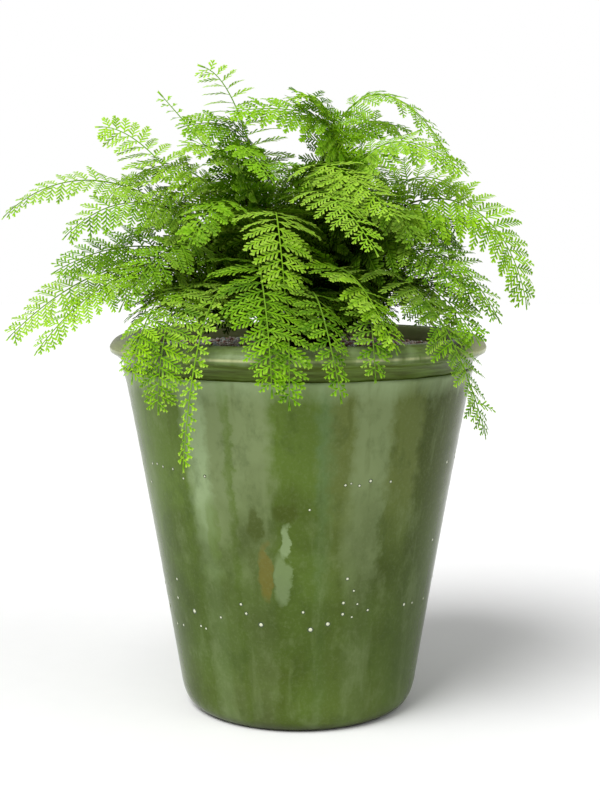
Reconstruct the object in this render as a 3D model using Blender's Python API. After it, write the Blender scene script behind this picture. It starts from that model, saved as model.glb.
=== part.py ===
"""A potted mother fern: a turned and glazed clay pot, filled with soil under a layer of clay
granules, with a short crown from which finely divided fronds arch up, out and over the rim.

Units are metres. The origin is the middle of the pot's flat base, +Z is up, and the side of the
plant that is seen first faces -Y. Each frond is one closed blade, cut to its midrib into leaflets.
"""
import math
from collections import namedtuple

import bmesh
import bpy
import numpy as np
from mathutils import Vector
from mathutils.bvhtree import BVHTree

MM = 0.001
GAP = 0.3 * MM
SMOOTH_BELOW = math.radians(35)

# Driving dimensions of the pot
POT_HEIGHT = 300 * MM
LIP_RADIUS = 150 * MM
MOUTH_RADIUS = 133 * MM
NECK_RADIUS = 138.5 * MM
LEDGE_RADIUS = 140.2 * MM
LEDGE_HEIGHT = 273.5 * MM
SHOULDER_RADIUS = 137 * MM
SHOULDER_HEIGHT = 262 * MM
FOOT_RADIUS = 95.5 * MM
FOOT_HEIGHT = 20 * MM
BASE_RADIUS = 84.5 * MM
WALL = 10 * MM
FLOOR_HEIGHT = 13.5 * MM
FLOOR_ROUND = 6 * MM
FOOT_ROUND = 3 * MM
LIP_EDGE_DROP = 9 * MM
LIP_UNDER_DROP = 13 * MM
LIP_ROUND = 4 * MM
LIP_HOLLOW_DROP = 18 * MM
MOUTH_ROUND = 3 * MM
POT_SIDES = 40

# The filling
SOIL_TOP = 275.5 * MM
GRANULES_TOP = 287.5 * MM
GRANULES_RELIEF = 1.8 * MM
GRANULES_RADIUS = 126.2 * MM
GRANULES_SIDES = 44
GRANULES_RINGS = 7
GRANULES_SEED = 12

# The crown, a short rhizome that stands in a hole through the granules and the soil
CROWN_RADIUS = 34 * MM
CROWN_FOOT = 250 * MM
CROWN_TOP = 300 * MM
CROWN_FALL_AT_EDGE = 14 * MM
CROWN_SIDES = 20
SEAT_RADII = (7 * MM, 14.5 * MM, 22 * MM, 29.5 * MM)
SOCKET_DEPTH = 4.3 * MM
SOCKET_SIDE = 2.6 * MM
STIPE_DEPTH = 4.0 * MM

# The fronds
STIPE_HALF = 1.0 * MM
RACHIS_HALF = 0.6 * MM
TIP_HALF = 0.35 * MM
BLADE_HALF = 0.4 * MM
STIPE_PARTS = 4
LEAFLET_SPACING = 22 * MM
MOST_PAIRS = 9
FEWEST_PAIRS = 7
TIP_SHARE = 0.97
TIP_CROWDING = 1.2
CURVE_SAMPLES = 120
STEM_CLEARANCE = 4.0 * MM
RIM_CLEARANCE = 4.0 * MM
LEAFLET_CLEARANCE = 0.35 * MM

# A leaflet's shape, as shares of its length, and of its pair's spacing for its belly's breadth
LEAFLET_OUT = 0.90
LEAFLET_FORWARD = 0.44
BELLY_AT = 0.48
BELLY_BREADTH = 0.34
LEAFLET_DROOP = 0.10
LEAFLET_SAG = 0.06
WIDEST_AT = 0.22
FIRST_SHARE = 0.80
LAST_SHARE = 0.10
TAPER = 1.15

FRESH, MID, DEEP = "fresh_green", "mid_green", "deep_green"

# Each frond leaves its seat on a ring of the crown towards an azimuth at a rise, and its tip lies
# at an azimuth, a reach and a height, where it points along an azimuth at a rise. Both handles
# give how long it keeps each direction. Angles are in degrees and lengths in millimetres. The
# blade has its half width, the share of the stalk that is bare, and its roll about the midrib.
Frond = namedtuple("Frond", "ring leave rise stem at reach height end fall tail width stalk roll tint")
FRONDS = (
    # Upright fronds in the middle
    Frond(0, 180, 80, 150, 184, 76, 509, 185, 10, 25, 44, 0.20, -75, FRESH),
    Frond(1, 150, 74, 130, 165, 115, 491, 180, 50, 60, 16, 0.24, -70, FRESH),
    Frond(0, 10, 78, 140, 262, 40, 488, 215, 10, 70, 32, 0.22, -20, FRESH),
    Frond(1, 10, 74, 160, 212, 63, 472, 188, -8, 100, 44, 0.20, -35, MID),
    Frond(0, 60, 84, 270, 8, 124, 437, 0, -63, 60, 38, 0.18, 20, MID),
    Frond(1, 215, 78, 100, 208, 100, 446, 200, -5, 60, 42, 0.20, -30, MID),
    Frond(1, 190, 74, 150, 259, 96, 418, 310, -40, 90, 28, 0.20, 0, DEEP),
    Frond(0, 200, 87, 150, 308, 118, 390, 318, -40, 110, 44, 0.18, 15, FRESH),
    Frond(0, 235, 82, 130, 294, 138, 366, 315, -50, 95, 36, 0.18, 10, MID),
    Frond(1, 225, 78, 130, 266, 130, 336, 285, -72, 85, 42, 0.18, 0, FRESH),
    # Left side
    Frond(2, 190, 64, 138, 184, 156, 462, 185, -5, 30, 46, 0.18, -60, FRESH),
    Frond(2, 180, 64, 138, 185, 231, 392, 185, -45, 85, 30, 0.16, -35, MID),
    Frond(2, 195, 68, 90, 197, 185, 377, 190, -45, 90, 42, 0.16, -38, MID),
    Frond(3, 185, 58, 80, 192, 192, 350, 190, -30, 90, 44, 0.14, -42, DEEP),
    Frond(3, 196, 58, 100, 193, 228, 300, 190, -45, 110, 42, 0.12, -38, FRESH),
    Frond(3, 212, 56, 95, 204, 213, 292, 199, -52, 110, 38, 0.14, -25, FRESH),
    Frond(1, 175, 74, 110, 180, 150, 408, 178, -45, 90, 38, 0.18, -30, FRESH),
    Frond(2, 208, 66, 90, 214, 158, 325, 212, -60, 90, 40, 0.16, -25, MID),
    # Front, hanging over the rim
    Frond(3, 212, 54, 105, 233, 166, 254, 240, -88, 95, 44, 0.14, 0, FRESH),
    Frond(3, 240, 56, 98, 243, 177, 216, 230, -84, 155, 13, 0.16, 0, FRESH),
    Frond(2, 225, 68, 110, 264, 170, 270, 280, -78, 100, 40, 0.16, 0, MID),
    Frond(3, 262, 54, 85, 268, 168, 262, 270, -80, 95, 30, 0.16, 0, DEEP),
    Frond(3, 266, 52, 85, 280, 172, 267, 305, -72, 95, 26, 0.16, 0, MID),
    Frond(3, 278, 60, 60, 278, 121, 304, 290, -70, 50, 28, 0.16, 0, MID),
    Frond(2, 288, 68, 95, 296, 158, 298, 328, -62, 75, 40, 0.16, 0, FRESH),
    Frond(3, 300, 50, 85, 289, 166, 280, 290, -80, 65, 30, 0.16, 0, DEEP),
    Frond(2, 306, 64, 112, 317, 185, 235, 332, -74, 120, 44, 0.16, 0, MID),
    # Right side
    Frond(2, 300, 66, 100, 329, 152, 332, 335, -50, 90, 46, 0.14, 30, MID),
    Frond(3, 345, 66, 110, 350, 160, 312, 352, -50, 60, 16, 0.16, 20, FRESH),
    Frond(1, 345, 74, 145, 348, 181, 323, 350, -80, 118, 44, 0.16, 40, FRESH),
    Frond(1, 8, 72, 120, 2, 142, 400, 355, -48, 75, 42, 0.18, 35, FRESH),
    Frond(2, 338, 64, 95, 338, 164, 315, 340, -62, 90, 38, 0.16, 20, DEEP),
    Frond(0, 330, 80, 150, 342, 135, 425, 340, -40, 85, 42, 0.18, 25, MID),
    # Back
    Frond(3, 10, 66, 110, 10, 176, 376, 8, -25, 80, 36, 0.16, 20, MID),
    Frond(2, 32, 66, 120, 34, 168, 355, 36, -50, 95, 38, 0.16, 0, MID),
    Frond(1, 50, 76, 140, 54, 150, 410, 58, -35, 90, 36, 0.18, 0, FRESH),
    Frond(3, 52, 52, 90, 50, 185, 280, 48, -75, 90, 38, 0.16, 0, MID),
    Frond(2, 72, 66, 125, 76, 178, 345, 80, -55, 100, 40, 0.16, 0, FRESH),
    Frond(3, 88, 52, 90, 90, 182, 262, 92, -80, 95, 40, 0.16, 0, DEEP),
    Frond(1, 96, 78, 140, 100, 140, 415, 104, -35, 90, 38, 0.18, 0, MID),
    Frond(2, 118, 64, 120, 116, 186, 335, 114, -55, 100, 40, 0.16, 0, MID),
    Frond(3, 130, 50, 90, 132, 182, 268, 136, -78, 95, 38, 0.16, 0, FRESH),
    Frond(2, 142, 74, 130, 140, 152, 395, 138, -40, 90, 38, 0.18, 0, FRESH),
    Frond(2, 156, 66, 110, 158, 190, 345, 162, -50, 100, 38, 0.16, 0, DEEP),
    # Inner fronds that fill the dome
    Frond(2, 290, 50, 60, 292, 112, 316, 298, -42, 50, 42, 0.12, 0, MID),
    Frond(1, 300, 76, 110, 296, 98, 398, 300, -50, 80, 42, 0.18, 5, FRESH),
    Frond(2, 232, 70, 100, 232, 128, 372, 236, -55, 85, 44, 0.16, -10, MID),
    Frond(1, 320, 74, 110, 318, 120, 372, 322, -55, 80, 44, 0.16, 15, DEEP),
    Frond(3, 322, 60, 85, 328, 158, 300, 334, -55, 75, 46, 0.12, 25, MID),
    Frond(0, 330, 80, 150, 262, 46, 480, 215, -20, 55, 44, 0.20, 0, FRESH),
    Frond(1, 30, 78, 150, 24, 100, 462, 20, -20, 80, 44, 0.18, 25, DEEP),
    Frond(1, 150, 82, 150, 186, 92, 462, 186, -15, 60, 46, 0.18, -45, DEEP),
    Frond(2, 100, 60, 95, 98, 150, 322, 98, -60, 80, 38, 0.15, 0, MID),
    Frond(3, 205, 52, 90, 226, 172, 275, 232, -78, 85, 42, 0.12, 0, FRESH),
    Frond(2, 24, 62, 95, 24, 150, 366, 25, -50, 85, 36, 0.17, 10, MID),
    Frond(2, 244, 50, 60, 240, 112, 314, 238, -45, 50, 40, 0.12, 0, DEEP),
)

MATERIALS = {
    "celadon_glaze": ((0.30, 0.34, 0.21), 0.22),
    "potting_soil": ((0.035, 0.022, 0.015), 0.95),
    "clay_granules": ((0.34, 0.20, 0.16), 0.90),
    "crown_scales": ((0.055, 0.032, 0.018), 0.85),
    FRESH: ((0.20, 0.36, 0.06), 0.55),
    MID: ((0.11, 0.25, 0.05), 0.55),
    DEEP: ((0.05, 0.15, 0.035), 0.55),
}


def clear_scene():
    for thing in list(bpy.data.objects):
        bpy.data.objects.remove(thing, do_unlink=True)


def material(name):
    """The Principled BSDF material of that name, made once."""
    made = bpy.data.materials.get(name)
    if made:
        return made
    colour, roughness = MATERIALS[name]
    made = bpy.data.materials.new(name)
    made.use_nodes = True
    shader = made.node_tree.nodes["Principled BSDF"]
    shader.inputs["Base Color"].default_value = (*colour, 1.0)
    shader.inputs["Roughness"].default_value = roughness
    shader.inputs["Metallic"].default_value = 0.0
    made.diffuse_color = (*colour, 1.0)
    return made


def add_object(name, points, faces, finish, smooth_angle=None):
    """An object from points and faces, with its faces turned outwards."""
    mesh = bpy.data.meshes.new(name)
    mesh.from_pydata([tuple(point) for point in points], [], faces)
    shell = bmesh.new()
    shell.from_mesh(mesh)
    bmesh.ops.recalc_face_normals(shell, faces=shell.faces)
    shell.to_mesh(mesh)
    shell.free()
    if smooth_angle:
        mesh.shade_smooth()
        mesh.set_sharp_from_angle(angle=smooth_angle)
    mesh.materials.append(material(finish))
    thing = bpy.data.objects.new(name, mesh)
    bpy.context.scene.collection.objects.link(thing)
    return thing


# Turned pieces

def bend(start, control, end, steps):
    """Points of a quadratic curve after its start."""
    points = []
    for step in range(1, steps + 1):
        t = step / steps
        weights = ((1 - t) ** 2, 2 * t * (1 - t), t * t)
        radius = sum(w * p[0] for w, p in zip(weights, (start, control, end)))
        height = sum(w * p[1] for w, p in zip(weights, (start, control, end)))
        points.append((radius, height))
    return points


def belly(inset, steps=4):
    """The long flared curve of the pot from foot to shoulder, moved in by an inset."""
    lift = (SHOULDER_HEIGHT - FOOT_HEIGHT) / 3
    handles = (
        (FOOT_RADIUS, FOOT_HEIGHT),
        (FOOT_RADIUS + 13 * MM, FOOT_HEIGHT + lift),
        (SHOULDER_RADIUS - 15 * MM, SHOULDER_HEIGHT - lift),
        (SHOULDER_RADIUS, SHOULDER_HEIGHT),
    )
    points = []
    for step in range(steps + 1):
        t = step / steps
        weights = ((1 - t) ** 3, 3 * t * (1 - t) ** 2, 3 * t * t * (1 - t), t ** 3)
        radius = sum(w * h[0] for w, h in zip(weights, handles))
        height = sum(w * h[1] for w, h in zip(weights, handles))
        points.append((radius - inset, height))
    return points


def turned(name, outline, sides, finish):
    """A solid turned about Z from an outline of radius and height that starts and ends on the axis."""
    inner = outline[1:-1]
    points = []
    for radius, height in inner:
        for side in range(sides):
            angle = 2 * math.pi * side / sides
            points.append((radius * math.cos(angle), radius * math.sin(angle), height))
    faces = []
    for row in range(len(inner) - 1):
        for side in range(sides):
            here, beyond = row * sides + side, row * sides + (side + 1) % sides
            faces.append((here, beyond, beyond + sides, here + sides))
    first, last = len(points), len(points) + 1
    points += [(0, 0, outline[0][1]), (0, 0, outline[-1][1])]
    top_row = (len(inner) - 1) * sides
    for side in range(sides):
        beyond = (side + 1) % sides
        faces.append((first, beyond, side))
        faces.append((last, top_row + side, top_row + beyond))
    return add_object(name, points, faces, finish, SMOOTH_BELOW)


def make_pot():
    throat = SHOULDER_RADIUS - WALL
    foot_corner = (FOOT_RADIUS - FOOT_ROUND, FOOT_ROUND)
    foot = bend((BASE_RADIUS, 0), foot_corner, (FOOT_RADIUS, FOOT_HEIGHT), 3)
    neck = (NECK_RADIUS, LEDGE_HEIGHT + 1 * MM)
    lip_under = (LIP_RADIUS - 1 * MM, POT_HEIGHT - LIP_UNDER_DROP)
    lip_edge = (LIP_RADIUS, POT_HEIGHT - LIP_EDGE_DROP)
    lip_top = (MOUTH_RADIUS + MOUTH_ROUND, POT_HEIGHT)
    outline = [(0, 0), (BASE_RADIUS, 0)] + foot + belly(0)[1:]
    outline += [(LEDGE_RADIUS, LEDGE_HEIGHT), neck]
    outline += bend(neck, (NECK_RADIUS + 1 * MM, POT_HEIGHT - LIP_HOLLOW_DROP), lip_under, 2)
    outline += [lip_edge]
    outline += bend(lip_edge, (LIP_RADIUS - LIP_ROUND, POT_HEIGHT), lip_top, 2)
    outline += bend(lip_top, (throat, POT_HEIGHT), (throat, GRANULES_TOP), 2)
    outline += list(reversed(belly(WALL)))
    outline += [(FOOT_RADIUS - WALL - FLOOR_ROUND, FLOOR_HEIGHT), (0, FLOOR_HEIGHT)]
    return turned("pot", outline, POT_SIDES, "celadon_glaze")


def make_soil():
    side = belly(WALL + GAP)
    floor = FLOOR_HEIGHT + GAP
    hole = CROWN_RADIUS + GAP
    outline = [(0, floor), (FOOT_RADIUS - WALL - FLOOR_ROUND - GAP, floor)] + side
    outline += [(SHOULDER_RADIUS - WALL - GAP, SOIL_TOP), (hole, SOIL_TOP)]
    outline += [(hole, CROWN_FOOT - GAP), (0, CROWN_FOOT - GAP)]
    return turned("soil", outline, POT_SIDES, "potting_soil")


def make_granules():
    """A ring of granules, whose grains are relief on its top, larger than life."""
    draw = np.random.default_rng(GRANULES_SEED)
    inside, outside = CROWN_RADIUS + GAP, GRANULES_RADIUS
    under = SOIL_TOP + GAP
    rows = [(inside, under, 0)]
    for ring in range(GRANULES_RINGS + 1):
        radius = inside + (outside - inside) * ring / GRANULES_RINGS
        relief = 0 if ring in (0, GRANULES_RINGS) else GRANULES_RELIEF
        rows.append((radius, GRANULES_TOP, relief))
    rows.append((outside, under, 0))
    points = []
    for index, (radius, height, relief) in enumerate(rows):
        shift = 0.5 * (index % 2) if relief else 0.0
        for side in range(GRANULES_SIDES):
            angle = 2 * math.pi * (side + shift) / GRANULES_SIDES
            lift = relief * draw.uniform(-1, 1)
            points.append((radius * math.cos(angle), radius * math.sin(angle), height + lift))
    faces = []
    count = len(rows)
    for row in range(count):
        for side in range(GRANULES_SIDES):
            beyond = (side + 1) % GRANULES_SIDES
            near, far = row * GRANULES_SIDES, (row + 1) % count * GRANULES_SIDES
            faces.append((near + side, near + beyond, far + side))
            faces.append((near + beyond, far + beyond, far + side))
    return add_object("granules", points, faces, "clay_granules")


# Places and directions of the fronds

def polar(radius, azimuth, height):
    angle = math.radians(azimuth)
    return np.array((radius * math.cos(angle), radius * math.sin(angle), height))


def heading(azimuth, rise):
    flat = math.cos(math.radians(rise))
    return polar(flat, azimuth, math.sin(math.radians(rise)))


def crown_height(radius):
    return CROWN_TOP - CROWN_FALL_AT_EDGE * (radius / CROWN_RADIUS) ** 2


def seats():
    """Even places round each ring of the crown, taken by its fronds in the order that they leave."""
    places = [None] * len(FRONDS)
    for ring, radius in enumerate(SEAT_RADII):
        members = [i for i, row in enumerate(FRONDS) if row.ring == ring]
        members.sort(key=lambda i: FRONDS[i].leave)
        step = 360 / len(members)
        start = sum(FRONDS[i].leave - k * step for k, i in enumerate(members)) / len(members)
        for k, i in enumerate(members):
            places[i] = polar(radius, start + k * step, crown_height(radius))
    return places


def midrib(row, seat, turn, lift):
    """Points and unit tangents of a frond's midrib, with its first handle turned and lifted."""
    start = heading(row.leave + turn, row.rise + lift)
    tip = polar(row.reach * MM, row.at, row.height * MM)
    finish = heading(row.end, row.fall)
    handles = (seat, seat + start * row.stem * MM, tip - finish * row.tail * MM, tip)
    t = np.linspace(0, 1, CURVE_SAMPLES)[:, None]
    weights = ((1 - t) ** 3, 3 * t * (1 - t) ** 2, 3 * t * t * (1 - t), t ** 3)
    points = sum(w * h for w, h in zip(weights, handles))
    tangents = np.gradient(points, axis=0)
    return points, tangents / np.linalg.norm(tangents, axis=1)[:, None]


def clears_pot(points):
    """Whether a midrib passes above the granules and the lip, and hangs clear outside."""
    radius = np.hypot(points[:, 0], points[:, 1])
    height = points[:, 2]
    over_fill = (radius < CROWN_RADIUS + 2 * MM) | (height > GRANULES_TOP + RIM_CLEARANCE)
    inside = radius < MOUTH_RADIUS - 8 * MM
    above = height > POT_HEIGHT + RIM_CLEARANCE
    outside = radius > LIP_RADIUS + RIM_CLEARANCE
    return bool(np.all(np.where(inside, over_fill, above | outside)))


def nearest(points, others):
    gaps = [np.linalg.norm(points[:, None] - other[None], axis=2).min() for other in others]
    return min(gaps, default=1.0)


def midribs():
    """Every midrib, each bent clear of the pot and of those before it."""
    placed = []
    turns = sorted(range(-30, 31, 5), key=abs)
    lifts = (0, 4, 8, -4, 12)
    for row, seat in zip(FRONDS, seats()):
        tried = ((turn, lift) for lift in lifts for turn in turns)
        for turn, lift in tried:
            points, tangents = midrib(row, seat, turn, lift)
            others = [other for other, _ in placed]
            if clears_pot(points) and nearest(points, others) > STEM_CLEARANCE:
                break
        placed.append((points, tangents))
    return placed


def frames(row, points, tangents):
    """Side and face directions along a midrib, carried back from its tip without twist."""
    angle = math.radians(row.end)
    side = np.array((-math.sin(angle), math.cos(angle), 0.0))
    sides = np.zeros_like(points)
    for i in range(len(points) - 1, -1, -1):
        side = side - tangents[i] * side.dot(tangents[i])
        side = side / np.linalg.norm(side)
        sides[i] = side
    faces = np.cross(tangents, sides)
    roll = math.radians(row.roll)
    rolled = sides * math.cos(roll) + faces * math.sin(roll)
    return rolled, np.cross(tangents, rolled)


# One frond

Station = namedtuple("Station", "place along side face half")


def stations(row, points, tangents):
    """Cross-sections along a frond: its bare stalk, then one for each pair of leaflets, and its tip."""
    sides, faces = frames(row, points, tangents)
    steps = np.linalg.norm(np.diff(points, axis=0), axis=1)
    run = np.concatenate(((0.0,), np.cumsum(steps)))
    length = run[-1]
    blade = length * (1 - row.stalk)
    pairs = int(np.clip(round(blade / LEAFLET_SPACING), FEWEST_PAIRS, MOST_PAIRS))
    where = list(np.linspace(0, length * row.stalk, STIPE_PARTS + 1))
    crowded = 1 - (1 - np.linspace(0, 1, pairs + 1)[1:]) ** TIP_CROWDING
    where += list(length * row.stalk + blade * TIP_SHARE * crowded) + [length]
    made = []
    for s in where:
        place, along, side, face = (
            np.array([np.interp(s, run, values[:, axis]) for axis in range(3)])
            for values in (points, tangents, sides, faces)
        )
        share = s / length
        half = np.interp(share, (0, row.stalk, 0.98, 1), (STIPE_HALF, RACHIS_HALF, BLADE_HALF, TIP_HALF))
        made.append(Station(place, along, side, face, half))
    root = made[0]
    made[0] = root._replace(place=root.place - root.along * STIPE_DEPTH)
    return made, pairs


def corners(station):
    """The four corners of a midrib's cross-section: left top, right top, right under, left under."""
    side, face = station.side * station.half, station.face * station.half
    place = station.place
    return place + side + face, place - side + face, place - side - face, place + side - face


def leaflet_share(u):
    """Length of a leaflet against the longest, where u runs from the first pair to the tip."""
    if u < WIDEST_AT:
        return FIRST_SHARE + (1 - FIRST_SHARE) * math.sin(math.pi / 2 * u / WIDEST_AT)
    return 1 - (1 - LAST_SHARE) * ((u - WIDEST_AT) / (1 - WIDEST_AT)) ** TAPER


def leaflet(first, second, left, length, swing):
    """Outer points, upper then lower, of the leaflet between two stations, swung about the midrib."""
    sign = 1 if left else -1
    angle = math.radians(swing)
    side = first.side * math.cos(angle) + first.face * math.sin(angle) * sign
    face = first.face * math.cos(angle) - first.side * math.sin(angle) * sign
    along = first.along
    root = (first.place + second.place) / 2
    spacing = np.linalg.norm(second.place - first.place)
    out = side * sign * LEAFLET_OUT + along * LEAFLET_FORWARD
    droop = -LEAFLET_DROOP * face - np.array((0, 0, LEAFLET_SAG))
    belly_point = root + out * BELLY_AT * length - along * BELLY_BREADTH * spacing
    belly_point = belly_point + droop * length * BELLY_AT ** 2
    tip = root + out * length + droop * length
    return belly_point, tip, face


def leaflet_faces(low, high, belly_point, tip, face, thick):
    """Triangles of a leaflet, as points: both faces split alike, and its thin edge."""
    low_top, low_under = low
    high_top, high_under = high
    belly_top, belly_under = belly_point + face * thick, belly_point - face * thick
    tip_top, tip_under = tip + face * thick, tip - face * thick
    rim_top = (low_top, belly_top, tip_top, high_top)
    rim_under = (low_under, belly_under, tip_under, high_under)
    triangles = []
    for rim in (rim_top, rim_under):
        triangles.append((rim[0], rim[1], rim[3]))
        triangles.append((rim[1], rim[2], rim[3]))
    for k in range(3):
        triangles.append((rim_top[k], rim_top[k + 1], rim_under[k]))
        triangles.append((rim_top[k + 1], rim_under[k + 1], rim_under[k]))
    return triangles


def stem_faces(made, open_left=(), open_right=()):
    """Triangles of the square midrib, without the side walls where a leaflet grows."""
    rings = [corners(station) for station in made]
    triangles = []
    for k in range(len(rings) - 1):
        near, far = rings[k], rings[k + 1]
        walls = [(0, 1), (2, 3)]
        if k not in open_right:
            walls.append((1, 2))
        if k not in open_left:
            walls.append((3, 0))
        for a, b in walls:
            triangles.append((near[a], near[b], far[a]))
            triangles.append((near[b], far[b], far[a]))
    for ring in (rings[0], rings[-1]):
        triangles.append((ring[0], ring[1], ring[2]))
        triangles.append((ring[0], ring[2], ring[3]))
    return triangles


def tree(triangles):
    points = [Vector(point) for triangle in triangles for point in triangle]
    faces = [(3 * k, 3 * k + 1, 3 * k + 2) for k in range(len(triangles))]
    return BVHTree.FromPolygons(points, faces)


def object_triangles(thing):
    thing.data.calc_loop_triangles()
    places = [np.array(vertex.co) for vertex in thing.data.vertices]
    return [tuple(places[i] for i in face.vertices) for face in thing.data.loop_triangles]


def grow_leaflets(row, made, pairs, obstacles):
    """Leaflets along a frond, each swung or shortened until it is clear; one that can't be is left out."""
    swings = (0, 12, -12, 24, -24, 36, -36, 50, -50)
    lengths = (1.0, 0.8, 0.6, 0.42)
    blocked = tree(obstacles)
    grown = {}
    for k in range(pairs):
        first, second = made[STIPE_PARTS + k], made[STIPE_PARTS + k + 1]
        longest = row.width * MM * leaflet_share(k / pairs)
        for left in (True, False):
            near, far = corners(first), corners(second)
            edge = (0, 3) if left else (1, 2)
            low, high = (near[edge[0]], near[edge[1]]), (far[edge[0]], far[edge[1]])
            for share, swing in ((share, swing) for share in lengths for swing in swings):
                belly_point, tip, face = leaflet(first, second, left, longest * share, swing)
                guard = leaflet_faces(low, high, belly_point, tip, face, BLADE_HALF + LEAFLET_CLEARANCE)
                if not tree(guard).overlap(blocked):
                    grown[k, left] = leaflet_faces(low, high, belly_point, tip, face, BLADE_HALF)
                    break
    return grown


def merge(triangles):
    """Points and faces from loose triangles, with equal corners joined."""
    known = {}
    faces = []
    for triangle in triangles:
        faces.append([known.setdefault(tuple(np.round(point, 8)), len(known)) for point in triangle])
    return list(known), faces


def make_fronds(solids):
    curves = midribs()
    skeletons = [stations(row, *curve) for row, curve in zip(FRONDS, curves)]
    stems = [stem_faces(made) for made, _ in skeletons]
    fixed = [triangle for thing in solids for triangle in object_triangles(thing)]
    leaves = []
    for index, (row, (made, pairs)) in enumerate(zip(FRONDS, skeletons)):
        others = [triangle for k, stem in enumerate(stems) if k != index for triangle in stem]
        grown = grow_leaflets(row, made, pairs, fixed + others + leaves)
        open_left = {STIPE_PARTS + k for k, left in grown if left}
        open_right = {STIPE_PARTS + k for k, left in grown if not left}
        own = [triangle for part in grown.values() for triangle in part]
        leaves += own
        points, faces = merge(stem_faces(made, open_left, open_right) + own)
        add_object(f"frond_{index + 1:02d}", points, faces, row.tint)
    return [made[0] for made, _ in skeletons]


# The crown with a socket for each stalk

def make_crown_dome():
    outline = [(0, CROWN_FOOT), (CROWN_RADIUS, CROWN_FOOT)]
    for share in (1, 0.75, 0.5, 0.25, 0):
        radius = CROWN_RADIUS * share
        outline.append((radius, crown_height(radius)))
    return turned("crown", outline, CROWN_SIDES, "crown_scales")


def socket(root, name):
    """A square cutter along a stalk's root, a little wider and deeper than the stalk."""
    deep = root.place - root.along * (SOCKET_DEPTH - STIPE_DEPTH)
    half = SOCKET_SIDE / 2
    ends = []
    for place in (deep, root.place + root.along * 3 * STIPE_DEPTH):
        ends.append(corners(root._replace(place=place, half=half)))
    points = list(ends[0]) + list(ends[1])
    faces = [(0, 1, 2, 3), (7, 6, 5, 4)]
    faces += [(k, (k + 1) % 4, 4 + (k + 1) % 4, 4 + k) for k in range(4)]
    return add_object(name, points, faces, "crown_scales")


def cut_sockets(crown, roots):
    cutters = bpy.data.collections.new("socket_cutters")
    bpy.context.scene.collection.children.link(cutters)
    for index, root in enumerate(roots):
        cutter = socket(root, f"socket_cutter_{index + 1:02d}")
        bpy.context.scene.collection.objects.unlink(cutter)
        cutters.objects.link(cutter)
    cut = crown.modifiers.new("sockets", "BOOLEAN")
    cut.operation = "DIFFERENCE"
    cut.operand_type = "COLLECTION"
    cut.collection = cutters
    cut.solver = "EXACT"
    bpy.context.view_layer.update()
    cleaned = bpy.data.meshes.new_from_object(crown.evaluated_get(bpy.context.evaluated_depsgraph_get()))
    crown.modifiers.clear()
    crown.data = cleaned
    for cutter in list(cutters.objects):
        bpy.data.objects.remove(cutter, do_unlink=True)
    bpy.data.collections.remove(cutters)


def main():
    clear_scene()
    pot = make_pot()
    soil = make_soil()
    granules = make_granules()
    crown = make_crown_dome()
    roots = make_fronds([pot, soil, granules])
    cut_sockets(crown, roots)


main()
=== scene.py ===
"""The looks of a potted mother fern over its solids: every frond with its fine leaflets, the turned
and glazed pot with its runs and pinholes, the clay granules and the scaly crown.

Units are metres and the frame is that of the solids: the origin is the middle of the pot's base,
+Z is up, and the side of the plant that is seen first faces -Y.
"""
import math
from collections import namedtuple
from functools import cache, partialmethod
from itertools import combinations, product
from math import cos, radians, sin

import bpy
import numpy as np
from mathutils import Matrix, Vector


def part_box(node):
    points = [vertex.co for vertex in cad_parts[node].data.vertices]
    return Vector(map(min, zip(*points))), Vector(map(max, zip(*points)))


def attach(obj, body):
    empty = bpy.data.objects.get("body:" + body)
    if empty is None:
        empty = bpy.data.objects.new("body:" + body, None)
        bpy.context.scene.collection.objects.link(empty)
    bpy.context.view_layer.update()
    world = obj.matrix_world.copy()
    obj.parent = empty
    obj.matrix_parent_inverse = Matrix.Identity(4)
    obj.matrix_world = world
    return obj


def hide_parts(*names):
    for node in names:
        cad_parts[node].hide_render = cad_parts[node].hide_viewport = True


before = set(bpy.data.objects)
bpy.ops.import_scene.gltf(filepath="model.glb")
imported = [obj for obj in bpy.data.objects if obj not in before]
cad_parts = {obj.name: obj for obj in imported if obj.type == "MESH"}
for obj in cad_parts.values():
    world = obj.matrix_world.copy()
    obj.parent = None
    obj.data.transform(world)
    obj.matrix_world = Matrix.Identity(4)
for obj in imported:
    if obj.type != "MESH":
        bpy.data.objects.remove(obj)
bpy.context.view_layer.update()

# The frame gives the pot's height, and the pot's other sizes are shares of it
POT_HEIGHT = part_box("pot")[1].z
MM = POT_HEIGHT / 300
UP = np.array((0.0, 0.0, 1.0))

LIP_RADIUS = 150 * MM
MOUTH_RADIUS = 133 * MM
NECK_RADIUS = 138.5 * MM
LEDGE_RADIUS = 140.2 * MM
LEDGE_HEIGHT = 273.5 * MM
SHOULDER_RADIUS = 137 * MM
SHOULDER_HEIGHT = 262 * MM
SHOULDER_FLARE = 15 * MM
FOOT_RADIUS = 95.5 * MM
FOOT_HEIGHT = 20 * MM
FOOT_FLARE = 13 * MM
BASE_RADIUS = 84.5 * MM
WALL = 10 * MM
FLOOR_HEIGHT = 13.5 * MM
FLOOR_ROUND = 6 * MM
FOOT_ROUND = 3 * MM
LIP_EDGE_DROP = 9 * MM
LIP_UNDER_DROP = 13 * MM
LIP_ROUND = 4 * MM
LIP_HOLLOW_DROP = 18 * MM
LIP_TOP = (MOUTH_RADIUS + 3 * MM, POT_HEIGHT)
POT_SIDES = 224
GRANULES_TOP = 287.5 * MM
GRANULES_RADIUS = 126.2 * MM
CROWN_RADIUS = 34 * MM
CROWN_FOOT = 250 * MM
CROWN_TOP = 300 * MM
CROWN_FALL_AT_EDGE = 14 * MM
SEAT_RADII = (7 * MM, 14.5 * MM, 22 * MM, 29.5 * MM)
STIPE_DEPTH = 4 * MM
CURVE_STEPS = 119
STEM_CLEARANCE = 4 * MM
RIM_CLEARANCE = 4 * MM

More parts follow.
